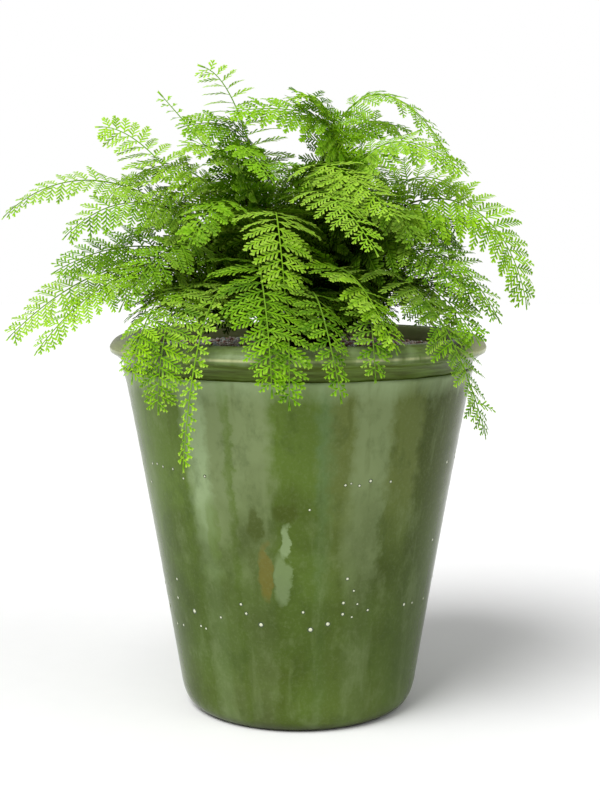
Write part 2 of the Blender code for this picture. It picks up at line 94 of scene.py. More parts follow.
# Throwing marks, pinholes and other unevenness of the pot's outside
THROWING_PITCH = 6.8 * MM
THROWING_DEPTH = 0.10 * MM
NECK_RING_PITCH = 2.3 * MM
NECK_RING_DEPTH = 0.22 * MM
HAND_WOBBLE = 0.14 * MM
LEDGE_WAVE = 0.175 * MM
POT_SEED = 5
PINHOLE_SEED = 23
PINHOLE_GROWTH = 1.3

# The granules
GRANULE_PITCH = 3.6 * MM
GRANULE_RADIUS = 1.9 * MM
GRANULE_JITTER = 0.8 * MM
GRANULE_SEED = 31

# The crown's scales
SCALE_COUNT = 900
SCALE_LENGTH = 9 * MM
SCALE_WIDTH = 1.5 * MM
SCALE_THICK = 0.15 * MM
COLLAR_SCALES = 7
SCALE_SEED = 47

# A frond's finer parts, with angles in degrees. Its rachis is its midrib, a costa is the rib of one
# leaflet, and pinnules are a leaflet's own leaflets.
FROND_SEED = 99
LEAFLET_PITCH, DENSE_PITCH = 8.6 * MM, 7.0 * MM
LEAST_LEAFLET = 5 * MM
TIP_SHARE = 0.98
TIP_CROWDING = 1.2
PAIR_OFFSET = 0.35
WIDEST_AT = 0.22
FIRST_SHARE = 0.80
LAST_SHARE = 0.16
TAPER = 1.15
PINNULE_PITCH = 3.15 * MM
PINNULE_BARE = 2.0 * MM
PINNULE_LENGTH_SHARE = 0.13
PINNULE_LENGTH_BASE = 4.2 * MM
PINNULE_HALF_WIDTH = 1.0 * MM
PINNULE_THICK = 0.2 * MM
PINNULE_ANGLE, PINNULE_TURN, PINNULE_LEAN = 46, 10, 8
PINNULE_TAPER, PINNULE_DROOP = 0.55, 0.12
LEAFLET_TILT, SHINGLE_TILT = 7, 8
LEAFLET_LEAN, TIP_LEAN = 0.12, 0.34
LEAFLET_SPREAD, LEAFLET_BOW = 0.92, 0.08
LEVELLING, FREE_LEVELLING = 0.05, 0.75
COSTA_HALF = 0.75 * MM
COSTA_FLATNESS = 0.35
COSTA_SEGMENTS = 6
STIPE_RADIUS = 1.25 * MM
RACHIS_RADIUS = 0.95 * MM
TIP_RADIUS = 0.35 * MM
RACHIS_STATIONS = 44
RACHIS_SIDES = 7
END_LEAFLET = 7 * MM
LEAF_CLEARANCE = 0.8 * MM
FILL_CLEARANCE = 3 * MM
# The dome of fronds, whose heart is darkened as painted shade
DOME_MIDDLE = 310 * MM
DOME_RADIUS = 185 * MM
DOME_HEIGHT = 170 * MM
DOME_EDGE, DOME_FADE = 0.90, 0.6

# Fronds whose pale tips are a painted sheen, by number
PALE_FRONDS = (1, 8, 9, 10, 11, 12, 15, 20, 31, 36, 38, 43, 46, 50)

# Fronds that are darker than the rest, by number, and by how much
DARKER_FRONDS = {5: 0.10, 14: 0.10, 19: 0.25, 22: 0.10, 27: 0.25, 54: 0.20}

# Hanging fronds in front, by number, whose midribs are green
GREEN_RIBS = (10, 19, 20, 21, 22, 23, 24, 25, 26, 27, 54)

# Fronds with closer leaflets and broader pinnules, by number, and how broad
BROAD_FRONDS = (3, 4, 6, 7, 25, 33, 35, 39, 41, 45, 47, 48, 49, 51, 52, 53, 55, 56)
BROAD = 1.3

# Fronds that stand free at the top, by number, whose leaflets lie level
FREE_FRONDS = (1, 2, 11)

FRESH, MID, DEEP = "fresh_green", "mid_green", "deep_green"

# Each frond leaves its seat on a ring of the crown towards an azimuth at a rise, and its tip lies
# at an azimuth, a reach and a height, where it points along an azimuth at a rise. Its stem and its
# tail say how far it keeps each direction. Angles are in degrees and lengths in millimetres. The
# blade has its half width, the share of the midrib that is bare stalk, and its roll about the midrib.
Frond = namedtuple("Frond", "ring leave rise stem at reach height end fall tail width stalk roll tint")
FRONDS = [Frond(*row) for row in (
    # Upright fronds in the middle
    (0, 180, 80, 150, 184, 76, 509, 185, 10, 25, 44, 0.20, -75, FRESH),
    (1, 150, 74, 130, 165, 115, 491, 180, 50, 60, 16, 0.24, -70, FRESH),
    (0, 10, 78, 140, 262, 40, 488, 215, 10, 70, 32, 0.22, -20, FRESH),
    (1, 10, 74, 160, 212, 63, 472, 188, -8, 100, 44, 0.20, -35, MID),
    (0, 60, 84, 270, 8, 124, 437, 0, -63, 60, 38, 0.18, 20, MID),
    (1, 215, 78, 100, 208, 100, 446, 200, -5, 60, 42, 0.20, -30, MID),
    (1, 190, 74, 150, 259, 96, 418, 310, -40, 90, 28, 0.20, 0, DEEP),
    (0, 200, 87, 150, 308, 118, 390, 318, -40, 110, 44, 0.18, 15, FRESH),
    (0, 235, 82, 130, 294, 138, 366, 315, -50, 95, 36, 0.18, 10, MID),
    (1, 225, 78, 130, 266, 130, 336, 285, -72, 85, 42, 0.18, 0, FRESH),
    # Left side
    (2, 190, 64, 138, 184, 156, 462, 185, -5, 30, 46, 0.18, -60, FRESH),
    (2, 180, 64, 138, 185, 231, 392, 185, -45, 85, 30, 0.16, -35, MID),
    (2, 195, 68, 90, 197, 185, 377, 190, -45, 90, 42, 0.16, -38, MID),
    (3, 185, 58, 80, 192, 192, 350, 190, -30, 90, 44, 0.14, -42, DEEP),
    (3, 196, 58, 100, 193, 228, 300, 190, -45, 110, 42, 0.12, -38, FRESH),
    (3, 212, 56, 95, 204, 213, 292, 199, -52, 110, 38, 0.14, -25, FRESH),
    (1, 175, 74, 110, 180, 150, 408, 178, -45, 90, 38, 0.18, -30, FRESH),
    (2, 208, 66, 90, 214, 158, 325, 212, -60, 90, 40, 0.16, -25, MID),
    # Front, hanging over the rim
    (3, 212, 54, 105, 233, 166, 254, 240, -88, 95, 44, 0.14, 0, FRESH),
    (3, 240, 56, 98, 243, 177, 216, 230, -84, 155, 13, 0.16, 0, FRESH),
    (2, 225, 68, 110, 264, 170, 270, 280, -78, 100, 40, 0.16, 0, MID),
    (3, 262, 54, 85, 268, 168, 262, 270, -80, 95, 30, 0.16, 0, DEEP),
    (3, 266, 52, 85, 280, 172, 267, 305, -72, 95, 26, 0.16, 0, MID),
    (3, 278, 60, 60, 278, 121, 304, 290, -70, 50, 28, 0.16, 0, MID),
    (2, 288, 68, 95, 296, 158, 298, 328, -62, 75, 40, 0.16, 0, FRESH),
    (3, 300, 50, 85, 289, 166, 280, 290, -80, 65, 30, 0.16, 0, DEEP),
    (2, 306, 64, 112, 317, 185, 235, 332, -74, 120, 44, 0.16, 0, MID),
    # Right side
    (2, 300, 66, 100, 329, 152, 332, 335, -50, 90, 46, 0.14, 30, MID),
    (3, 345, 66, 110, 350, 160, 312, 352, -50, 60, 16, 0.16, 20, FRESH),
    (1, 345, 74, 145, 348, 181, 323, 350, -80, 118, 44, 0.16, 40, FRESH),
    (1, 8, 72, 120, 2, 142, 400, 355, -48, 75, 42, 0.18, 35, FRESH),
    (2, 338, 64, 95, 338, 164, 315, 340, -62, 90, 38, 0.16, 20, DEEP),
    (0, 330, 80, 150, 342, 135, 425, 340, -40, 85, 42, 0.18, 25, MID),
    # Back
    (3, 10, 66, 110, 10, 176, 376, 8, -25, 80, 36, 0.16, 20, MID),
    (2, 32, 66, 120, 34, 168, 355, 36, -50, 95, 38, 0.16, 0, MID),
    (1, 50, 76, 140, 54, 150, 410, 58, -35, 90, 36, 0.18, 0, FRESH),
    (3, 52, 52, 90, 50, 185, 280, 48, -75, 90, 38, 0.16, 0, MID),
    (2, 72, 66, 125, 76, 178, 345, 80, -55, 100, 40, 0.16, 0, FRESH),
    (3, 88, 52, 90, 90, 182, 262, 92, -80, 95, 40, 0.16, 0, DEEP),
    (1, 96, 78, 140, 100, 140, 415, 104, -35, 90, 38, 0.18, 0, MID),
    (2, 118, 64, 120, 116, 186, 335, 114, -55, 100, 40, 0.16, 0, MID),
    (3, 130, 50, 90, 132, 182, 268, 136, -78, 95, 38, 0.16, 0, FRESH),
    (2, 142, 74, 130, 140, 152, 395, 138, -40, 90, 38, 0.18, 0, FRESH),
    (2, 156, 66, 110, 158, 190, 345, 162, -50, 100, 38, 0.16, 0, DEEP),
    # Fronds that fill gaps between the others
    (2, 290, 50, 60, 292, 112, 316, 298, -42, 50, 42, 0.12, 0, MID),
    (1, 300, 76, 110, 296, 98, 398, 300, -50, 80, 42, 0.18, 5, FRESH),
    (2, 232, 70, 100, 232, 128, 372, 236, -55, 85, 44, 0.16, -10, MID),
    (1, 320, 74, 110, 318, 120, 372, 322, -55, 80, 44, 0.16, 15, DEEP),
    (3, 322, 60, 85, 328, 158, 300, 334, -55, 75, 46, 0.12, 25, MID),
    (0, 330, 80, 150, 262, 46, 480, 215, -20, 55, 44, 0.20, 0, FRESH),
    (1, 30, 78, 150, 24, 100, 462, 20, -20, 80, 44, 0.18, 25, DEEP),
    (1, 150, 82, 150, 186, 92, 462, 186, -15, 60, 46, 0.18, -45, DEEP),
    (2, 100, 60, 95, 98, 150, 322, 98, -60, 80, 38, 0.15, 0, MID),
    (3, 205, 52, 90, 226, 172, 275, 232, -78, 85, 42, 0.12, 0, FRESH),
    (2, 24, 62, 95, 24, 150, 366, 25, -50, 85, 36, 0.17, 10, MID),
    (2, 244, 50, 60, 240, 112, 314, 238, -45, 50, 40, 0.12, 0, DEEP),
)]


# Places and directions of the fronds, as the solids have them

def polar(radius, azimuth, height):
    """The point at a distance from the pot's axis, an azimuth and a height."""
    angle = radians(azimuth)
    return np.array((radius * cos(angle), radius * sin(angle), height))


def heading(azimuth, rise):
    """The direction towards an azimuth, at a rise above the level."""
    return polar(cos(radians(rise)), azimuth, sin(radians(rise)))


def unit(vectors):
    """The vectors, each with a length of 1."""
    return vectors / np.linalg.norm(vectors, axis=-1, keepdims=True)


def curve(handles, steps):
    """Points of a smooth curve from the first handle to the last, drawn towards those between."""
    t = np.linspace(0, 1, steps + 1)[:, None]
    last = len(handles) - 1
    weights = [math.comb(last, k) * t ** k * (1 - t) ** (last - k) for k in range(last + 1)]
    return sum(weight * np.array(handle) for weight, handle in zip(weights, handles))


def crown_height(radius):
    return CROWN_TOP - CROWN_FALL_AT_EDGE * (radius / CROWN_RADIUS) ** 2


def seats():
    """Even places round each ring of the crown, taken by its fronds in the order that they leave."""
    places = [None] * len(FRONDS)
    for ring, radius in enumerate(SEAT_RADII):
        members = [i for i, row in enumerate(FRONDS) if row.ring == ring]
        members.sort(key=lambda i: FRONDS[i].leave)
        step = 360 / len(members)
        start = sum(FRONDS[i].leave - k * step for k, i in enumerate(members)) / len(members)
        for k, i in enumerate(members):
            places[i] = polar(radius, start + k * step, crown_height(radius))
    return places


def midrib(row, seat, turn, lift):
    """Points and unit tangents of a frond's midrib, with its first handle turned and lifted."""
    start = heading(row.leave + turn, row.rise + lift)
    tip = polar(row.reach * MM, row.at, row.height * MM)
    finish = heading(row.end, row.fall)
    handles = (seat, seat + start * row.stem * MM, tip - finish * row.tail * MM, tip)
    points = curve(handles, CURVE_STEPS)
    return points, unit(np.gradient(points, axis=0))


def clears_pot(points):
    """Whether a midrib passes above the granules and the lip, and hangs clear outside."""
    radius = np.hypot(points[:, 0], points[:, 1])
    height = points[:, 2]
    over_fill = (radius < CROWN_RADIUS + 2 * MM) | (height > GRANULES_TOP + RIM_CLEARANCE)
    inside = radius < MOUTH_RADIUS - 8 * MM
    above = height > POT_HEIGHT + RIM_CLEARANCE
    outside = radius > LIP_RADIUS + RIM_CLEARANCE
    return np.where(inside, over_fill, above | outside).all()


def nearest(points, others):
    gaps = [np.linalg.norm(points[:, None] - other[None], axis=2).min() for other in others]
    return min(gaps, default=1.0)


def midribs():
    """Every midrib, each bent clear of the pot and of those before it."""
    placed = []
    turns = sorted(range(-30, 31, 5), key=abs)
    lifts = (0, 4, 8, -4, 12)
    for row, seat in zip(FRONDS, seats()):
        others = [points for points, _ in placed]
        for lift, turn in product(lifts, turns):
            points, tangents = midrib(row, seat, turn, lift)
            if clears_pot(points) and nearest(points, others) > STEM_CLEARANCE:
                break
        placed.append((points, tangents))
    return placed


def frames(row, points, tangents):
    """Side and face directions along a midrib, carried back from its tip without twist."""
    side = heading(row.end + 90, 0)
    sides = np.zeros_like(points)
    for i in range(len(points) - 1, -1, -1):
        side = unit(side - tangents[i] * side.dot(tangents[i]))
        sides[i] = side
    faces = np.cross(tangents, sides)
    roll = radians(row.roll)
    rolled = sides * cos(roll) + faces * sin(roll)
    return rolled, np.cross(tangents, rolled)


# The pot's outline, finer than that of its solid

def bend(start, handle, end, steps):
    """Points of a curve that one handle draws, after its start."""
    return curve((start, handle, end), steps)[1:].tolist()


def belly(inset, steps):
    """The long flared curve of the pot from foot to shoulder, moved in by an inset."""
    lift = (SHOULDER_HEIGHT - FOOT_HEIGHT) / 3
    handles = (
        (FOOT_RADIUS - inset, FOOT_HEIGHT),
        (FOOT_RADIUS + FOOT_FLARE - inset, FOOT_HEIGHT + lift),
        (SHOULDER_RADIUS - SHOULDER_FLARE - inset, SHOULDER_HEIGHT - lift),
        (SHOULDER_RADIUS - inset, SHOULDER_HEIGHT),
    )
    return curve(handles, steps).tolist()


def outer_outline():
    """Radius and height up the pot's outside, from its base to the top of its lip."""
    foot_corner = (FOOT_RADIUS - FOOT_ROUND, FOOT_ROUND)
    neck = (NECK_RADIUS, LEDGE_HEIGHT + 1.6 * MM)
    lip_under = (LIP_RADIUS - 1 * MM, POT_HEIGHT - LIP_UNDER_DROP)
    lip_edge = (LIP_RADIUS, POT_HEIGHT - LIP_EDGE_DROP)
    points = [(BASE_RADIUS - 2 * MM, 0.0), (BASE_RADIUS - 0.6 * MM, 0.0)]
    points += bend((BASE_RADIUS, 0.5 * MM), foot_corner, (FOOT_RADIUS, FOOT_HEIGHT), 8)
    points += belly(0, 54)[1:]
    for handle, end, steps in (
        ((LEDGE_RADIUS - 1.2 * MM, LEDGE_HEIGHT - 4 * MM), (LEDGE_RADIUS, LEDGE_HEIGHT), 5),
        ((LEDGE_RADIUS - 0.3 * MM, LEDGE_HEIGHT + 1.5 * MM), neck, 3),
        ((NECK_RADIUS + 1 * MM, POT_HEIGHT - LIP_HOLLOW_DROP), lip_under, 9),
        ((LIP_RADIUS, POT_HEIGHT - LIP_UNDER_DROP + 1 * MM), lip_edge, 3),
        ((LIP_RADIUS - LIP_ROUND, POT_HEIGHT), LIP_TOP, 9),
    ):
        points += bend(points[-1], handle, end, steps)
    return points


def inner_outline():
    """Radius and height down the pot's inside, from the top of its lip to its floor."""
    throat = SHOULDER_RADIUS - WALL
    points = bend(LIP_TOP, (throat, POT_HEIGHT), (throat, GRANULES_TOP), 8)
    points += reversed(belly(WALL, 12))
    points.append((FOOT_RADIUS - WALL - FLOOR_ROUND, FLOOR_HEIGHT))
    return points


def pot_reach(height):
    """How far the pot's outside reaches at a height."""
    outline = np.array(OUTER)
    return np.interp(height, outline[:, 1], outline[:, 0])


OUTER = outer_outline()


# Meshes

def circle(count):
    """Even angles once round."""
    return 2 * np.pi * np.arange(count) / count


def around(radius, angles, height):
    """Points round the axis, where radius and height may change with the angle."""
    parts = np.broadcast_arrays(radius * np.cos(angles), radius * np.sin(angles), height)
    return np.stack(parts, axis=-1)


def walls(rings, corners):
    """Triangles between each ring of points and the next."""
    start, side = np.arange(rings - 1)[:, None] * corners, np.arange(corners)
    near, beside = (start + side).ravel(), (start + (side + 1) % corners).ravel()
    return np.concatenate((
        np.stack((near, beside, near + corners), axis=1),
        np.stack((beside, beside + corners, near + corners), axis=1),
    ))


def closed(rings, corners):
    """Triangles of rings that two points after them close, the first at the last ring's end."""
    side = np.arange(corners)
    beside = (side + 1) % corners
    last, end = (rings - 1) * corners, np.full(corners, rings * corners)
    far_fan = np.stack((last + side, last + beside, end), axis=1)
    near_fan = np.stack((beside, side, end + 1), axis=1)
    return np.concatenate((walls(rings, corners), far_fan, near_fan))


def add_object(name, data):
    thing = bpy.data.objects.new(name, data)
    bpy.context.scene.collection.objects.link(thing)
    return thing


class Shapes:
    """Points, triangles and point values of one piece, gathered before its mesh is made."""

    def __init__(self):
        self.points, self.faces, self.values, self.count = [], [], {}, 0

    def add(self, points, faces, **values):
        self.points.append(points)
        self.faces.append(np.asarray(faces) + self.count)
        self.count += len(points)
        for name, value in values.items():
            filled = np.broadcast_to(np.asarray(value, float), len(points))
            self.values.setdefault(name, []).append(filled)

    def make(self, name, finish, sharp_above=None):
        """The object, with one float attribute for each point value."""
        mesh = bpy.data.meshes.new(name)
        mesh.from_pydata(np.concatenate(self.points).tolist(), [], np.concatenate(self.faces).tolist())
        for key, parts in self.values.items():
            layer = mesh.attributes.new(key, "FLOAT", "POINT")
            layer.data.foreach_set("value", np.concatenate(parts).astype(np.float32))
        mesh.shade_smooth()
        if sharp_above:
            mesh.set_sharp_from_angle(angle=radians(sharp_above))
        mesh.materials.append(finish)
        return add_object(name, mesh)


def tube(points, sides, faces, wide, high, corners):
    """Points and triangles of a closed tube with an oval section."""
    angles = circle(corners)[None, :, None]
    across = np.cos(angles) * wide[:, None, None] * sides[:, None]
    upward = np.sin(angles) * high[:, None, None] * faces[:, None]
    rings = points[:, None] + across + upward
    last = (len(points) - 1) * corners
    caps = [(0, k + 1, k) for k in range(1, corners - 1)]
    caps += [(last, last + k, last + k + 1) for k in range(1, corners - 1)]
    return rings.reshape(-1, 3), np.concatenate((walls(len(points), corners), caps))


# Fronds

def leaflet_share(u):
    """Length of a leaflet against the longest, where u runs from the first pair to the tip."""
    rising = FIRST_SHARE + (1 - FIRST_SHARE) * np.sin(np.pi / 2 * np.minimum(u / WIDEST_AT, 1))
    falling = 1 - (1 - LAST_SHARE) * np.clip((u - WIDEST_AT) / (1 - WIDEST_AT), 0, 1) ** TAPER
    return np.where(u < WIDEST_AT, rising, falling)


# A midrib's or a leaflet's rib: its points, and its directions ahead, to its side and out of its face
Rib = namedtuple("Rib", "points tangents sides faces")

Pinnule = namedtuple("Pinnule", "root ahead normal length half cleft tone pale")

# A pinnule's outline, along its length and across its half width, with a whole and with a cleft tip,
# and the middle points of its upper and its lower face
WHOLE_TIP = ((0, -0.6), (0.82, -0.85), (1, 0), (0.82, 0.85), (0, 0.6))
CLEFT_TIP = ((0, -0.6), (1, -0.9), (0.86, 0), (0.93, 1.0), (0, 0.6))
MIDDLES = ((0.5, 0), (0.5, 0))
CLEFT_SHARE = 0.3


def along(rib, run, where):
    """A rib's point and directions at places along it, where run has the places of its own points."""
    return [np.stack([np.interp(where, run, column) for column in values.T], axis=-1) for values in rib]


def clear_of_pot(points):
    """The points moved out of the pot and its filling, up off the rim or out from the wall."""
    moved = points.copy()
    radius = np.hypot(points[:, 0], points[:, 1])
    height = points[:, 2]
    over_fill = (radius < MOUTH_RADIUS) & (height < GRANULES_TOP + FILL_CLEARANCE)
    on_rim = (radius >= MOUTH_RADIUS) & (radius < LIP_RADIUS - 5 * MM)
    on_rim &= (height > POT_HEIGHT - LIP_UNDER_DROP) & (height < POT_HEIGHT + LEAF_CLEARANCE)
    moved[over_fill, 2] = GRANULES_TOP + FILL_CLEARANCE
    moved[on_rim, 2] = POT_HEIGHT + LEAF_CLEARANCE
    reach = pot_reach(height) + LEAF_CLEARANCE
    by_wall = (radius >= MOUTH_RADIUS - 12 * MM) & ~over_fill & ~on_rim
    by_wall &= (radius < reach) & (height < POT_HEIGHT)
    out = np.where(by_wall, reach / np.maximum(radius, MM), 1.0)
    moved[:, :2] *= out[:, None]
    return moved


def costa(root, sign, length, u, levelling, draw):
    """One leaflet's own rib, from its root on the midrib to its tip."""
    place, tangent, side, face = root
    tilt = radians(draw.normal(0, LEAFLET_TILT))
    forward = LEAFLET_LEAN + TIP_LEAN * u * u + draw.normal(0, 0.05)
    rising = max(0.0, tangent[2])
    outward = side * sign * cos(tilt) + face * sin(tilt)
    outward[2] *= 1 - levelling * rising
    aim = unit(unit(outward) * LEAFLET_SPREAD + tangent * forward)
    s = np.linspace(0, 1, COSTA_SEGMENTS + 1)[:, None]
    arch = draw.normal(0.04, 0.06)
    drop = draw.uniform(0.02, 0.16)
    sag = draw.uniform(0.04, 0.14) + 0.25 * max(0, 0.3 - u) + 0.14 * rising
    droop = face * (arch * s - drop * s * s) - sag * UP * s * s
    points = clear_of_pot(place + length * (aim * s + tangent * LEAFLET_BOW * s * s + droop))
    tangents = unit(np.gradient(points, axis=0))
    level = min(1.0, (0.30 + 1.2 * levelling) * rising)
    skyward = face * (1 - 0.8 * level) + 1.1 * UP * level
    normals = unit(skyward - tangents * (tangents @ skyward)[:, None])
    widths = np.cross(tangents, normals)
    widths *= np.where(widths @ tangent < 0, -1, 1)[:, None]
    shingle = radians(SHINGLE_TILT + draw.normal(0, 8))
    sides = widths * cos(shingle) + normals * sin(shingle)
    return Rib(points, tangents, sides, normals * cos(shingle) - widths * sin(shingle))


def pinnules_of(rib, length, breadth, tone, pale, draw):
    """The pinnules of one leaflet: a row on both sides of its rib and one at its tip."""
    count = int(max(0, round((length - PINNULE_BARE) / PINNULE_PITCH)))
    longest = PINNULE_LENGTH_SHARE * length + PINNULE_LENGTH_BASE
    stations = np.linspace(0, 1, COSTA_SEGMENTS + 1)
    found = []
    for k, way in product(range(count), (1, -1)):
        share = (k + 0.55 + 0.25 * way) / (count + 0.35)
        profile = 1 - PINNULE_TAPER * share ** 2
        if k == 0:
            profile *= 1.05 if way > 0 else 0.75
        place, ahead, width, normal = along(rib, stations, share)
        angle = radians(PINNULE_ANGLE - PINNULE_TURN * share + draw.normal(0, 4))
        lean = radians(PINNULE_LEAN + draw.normal(0, 6))
        out = width * way * cos(lean) + normal * sin(lean)
        direction = ahead * cos(angle) + out * sin(angle)
        facing = unit(normal * cos(lean) - width * way * sin(lean))
        size = longest * profile * draw.uniform(0.9, 1.08)
        half = PINNULE_HALF_WIDTH * breadth * draw.uniform(0.88, 1.12) * (0.75 + 0.25 * profile)
        cleft = draw.random() < CLEFT_SHARE
        found.append((place, direction, facing, size, half, cleft, tone + draw.normal(0, 0.16), pale))
    place, ahead, _, normal = along(rib, stations, 0.92)
    size = 0.6 * longest if count else length
    half = PINNULE_HALF_WIDTH * breadth * (0.9 if count else 1.25)
    found.append((place if count else rib.points[0], ahead, normal, size, half, True, tone, pale))
    return found


def add_pinnules(shapes, rows):
    """Thin leaf-shaped lenses, one for each pinnule, with their faces turned by its normal."""
    rows = Pinnule(*(np.array(column) for column in zip(*rows)))
    tips = clear_of_pot(rows.root + unit(rows.ahead) * rows.length[:, None])
    ahead = unit(tips - rows.root)
    normal = unit(rows.normal - ahead * np.sum(rows.normal * ahead, axis=1)[:, None])
    across = np.cross(normal, ahead)
    edge = len(WHOLE_TIP)
    x, y = np.moveaxis(np.where(rows.cleft[:, None, None], CLEFT_TIP + MIDDLES, WHOLE_TIP + MIDDLES), 2, 0)
    lift = -PINNULE_DROOP * x * x * rows.length[:, None]
    lift[:, edge] += PINNULE_THICK
    lift[:, edge + 1] -= PINNULE_THICK
    points = rows.root[:, None] + ahead[:, None] * (x * rows.length[:, None])[:, :, None]
    points += across[:, None] * (y * rows.half[:, None])[:, :, None] + normal[:, None] * lift[:, :, None]
    fan = [(k, (k + 1) % edge, edge) for k in range(edge)]
    fan += [((k + 1) % edge, k, edge + 1) for k in range(edge)]
    count = edge + 2
    faces = (np.arange(len(ahead))[:, None, None] * count + fan).reshape(-1, 3)
    tone, pale = np.repeat(rows.tone, count), np.repeat(rows.pale, count)
    shapes.add(points.reshape(-1, 3), faces, reach=x.ravel(), tone=tone, pale=pale, woody=0.0)


def add_rachis(shapes, row, rib, run, tone, green):
    """The stalk and midrib, dark and stout at the crown, thin and green at the tip."""
    where = np.linspace(0, run[-1], RACHIS_STATIONS)
    points, tangents, sides, faces = along(rib, run, where)
    points[0] -= tangents[0] * STIPE_DEPTH
    share = where / run[-1]
    radius = np.interp(share, (0, row.stalk, 1), (STIPE_RADIUS, RACHIS_RADIUS, TIP_RADIUS))
    rings, triangles = tube(points, sides, faces, radius, radius, RACHIS_SIDES)
    turning = row.stalk if green else row.stalk + 0.2
    woody = np.interp(share, (0, turning, turning + 0.3, 1), (1, 0.95, 0.15, 0))
    shapes.add(rings, triangles, reach=0.6, tone=tone, pale=0.3, woody=np.repeat(woody, RACHIS_SIDES))


def make_frond(number, row, points, tangents):
    """One frond with all its leaflets, which stands in for its solid."""
    draw = np.random.default_rng(FROND_SEED + number)
    rib = Rib(points, tangents, *frames(row, points, tangents))
    steps = np.linalg.norm(np.diff(points, axis=0), axis=1)
    run = np.concatenate(((0.0,), np.cumsum(steps)))
    shapes = Shapes()
    frond_tone = draw.normal(0, 0.10) - DARKER_FRONDS.get(number, 0)
    frond_pale = draw.uniform(0.6, 0.95) if number in PALE_FRONDS else 0.5 * draw.uniform(0, 1) ** 2
    breadth = BROAD if number in BROAD_FRONDS else draw.uniform(0.9, 1.15)
    levelling = FREE_LEVELLING if number in FREE_FRONDS else LEVELLING
    add_rachis(shapes, row, rib, run, frond_tone, number in GREEN_RIBS)
    stalk = run[-1] * row.stalk
    blade = run[-1] - stalk
    pairs = max(8, round(blade / (DENSE_PITCH if number in BROAD_FRONDS else LEAFLET_PITCH)))
    rows = []
    for k, sign in product(range(pairs), (1, -1)):
        u = (k + 0.5 + PAIR_OFFSET * (sign > 0)) / (pairs + 0.5)
        root = along(rib, run, stalk + blade * TIP_SHARE * (1 - (1 - u) ** TIP_CROWDING))
        length = row.width * MM * float(leaflet_share(u)) * draw.uniform(0.96, 1.12)
        length = max(length, LEAST_LEAFLET)
        tone = frond_tone + draw.normal(0, 0.14) + 0.3 * u
        pale = np.clip(frond_pale + draw.normal(0, 0.2), 0, 1)
        leaflet = costa(root, sign, length, u, levelling * min(1, 1.5 * u), draw)
        taper = np.linspace(1, 0.5, COSTA_SEGMENTS + 1) * COSTA_HALF * min(1, 0.5 + length / (40 * MM))
        flat = taper * COSTA_FLATNESS
        rings, triangles = tube(leaflet.points, leaflet.sides, leaflet.faces, taper, flat, 3)
        shapes.add(rings, triangles, reach=0.5, tone=tone + 0.15, pale=pale, woody=0.0)
        rows += pinnules_of(leaflet, length, breadth, tone, pale, draw)
    place, ahead, _, face = along(rib, run, run[-1] * 0.985)
    rows.append((place, ahead, face, END_LEAFLET, PINNULE_HALF_WIDTH, True, frond_tone, frond_pale))
    add_pinnules(shapes, rows)
    shapes.values["painted_shade_depth"] = [dome_depth(part) for part in shapes.points]
    thing = shapes.make(f"leaf_{number:02d}", leaf_material(row.tint), 40)
    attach(thing, "root")
    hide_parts(f"frond_{number:02d}")


def dome_depth(points):
    """How deep inside the dome of fronds points lie, from 0 near its outside to 1 at its heart: the depth
    of the leaves' painted shade.
    """
    flat = np.hypot(points[:, 0], points[:, 1]) / DOME_RADIUS
    up = (points[:, 2] - DOME_MIDDLE) / DOME_HEIGHT
    return np.clip((DOME_EDGE - np.hypot(flat, up)) / DOME_FADE, 0, 1)


# Materials

class Value:
    """An output of a node, from which further nodes are made."""

    def __init__(self, nodes, socket):
        self.nodes, self.socket = nodes, socket

    def math(self, operation, other=0.0):
        return self.nodes.add("ShaderNodeMath", {0: self, 1: other}, operation=operation)

    __add__ = partialmethod(math, "ADD")
    __sub__ = partialmethod(math, "SUBTRACT")
    __mul__ = partialmethod(math, "MULTIPLY")

    def part(self, axis):
        """One part of a vector."""
        return self.nodes.add("ShaderNodeSeparateXYZ", {0: self}, axis)

    def span(self, low, high, new_low=0.0, new_high=1.0):
        """The value carried from one range to another, and held at its ends."""
        return self.nodes.add("ShaderNodeMapRange", {0: self, 1: low, 2: high, 3: new_low, 4: new_high})

    def mix(self, first, second):
        """The colour that lies this share of the way from one colour to another."""
        ends = [(*end, 1.0) if isinstance(end, tuple) else end for end in (first, second)]
        return self.nodes.add("ShaderNodeMix", {0: self, 6: ends[0], 7: ends[1]}, 2, data_type="RGBA")

    def ramp(self, stops, interpolation="LINEAR"):
        """The colour for this value by stops, each with a place and a colour."""
        found = self.nodes.add("ShaderNodeValToRGB", {0: self})
        scale = found.socket.node.color_ramp
        scale.interpolation = interpolation
        while len(scale.elements) < len(stops):
            scale.elements.new(1.0)
        for element, (place, colour) in zip(scale.elements, stops):
            element.position = place
            element.color = (*colour, 1.0)
        return found

    def bump(self, distance, strength):
        """The normal of a surface with this value as its relief."""
        inputs = {"Height": self, "Distance": distance, "Strength": strength}
        return self.nodes.add("ShaderNodeBump", inputs)


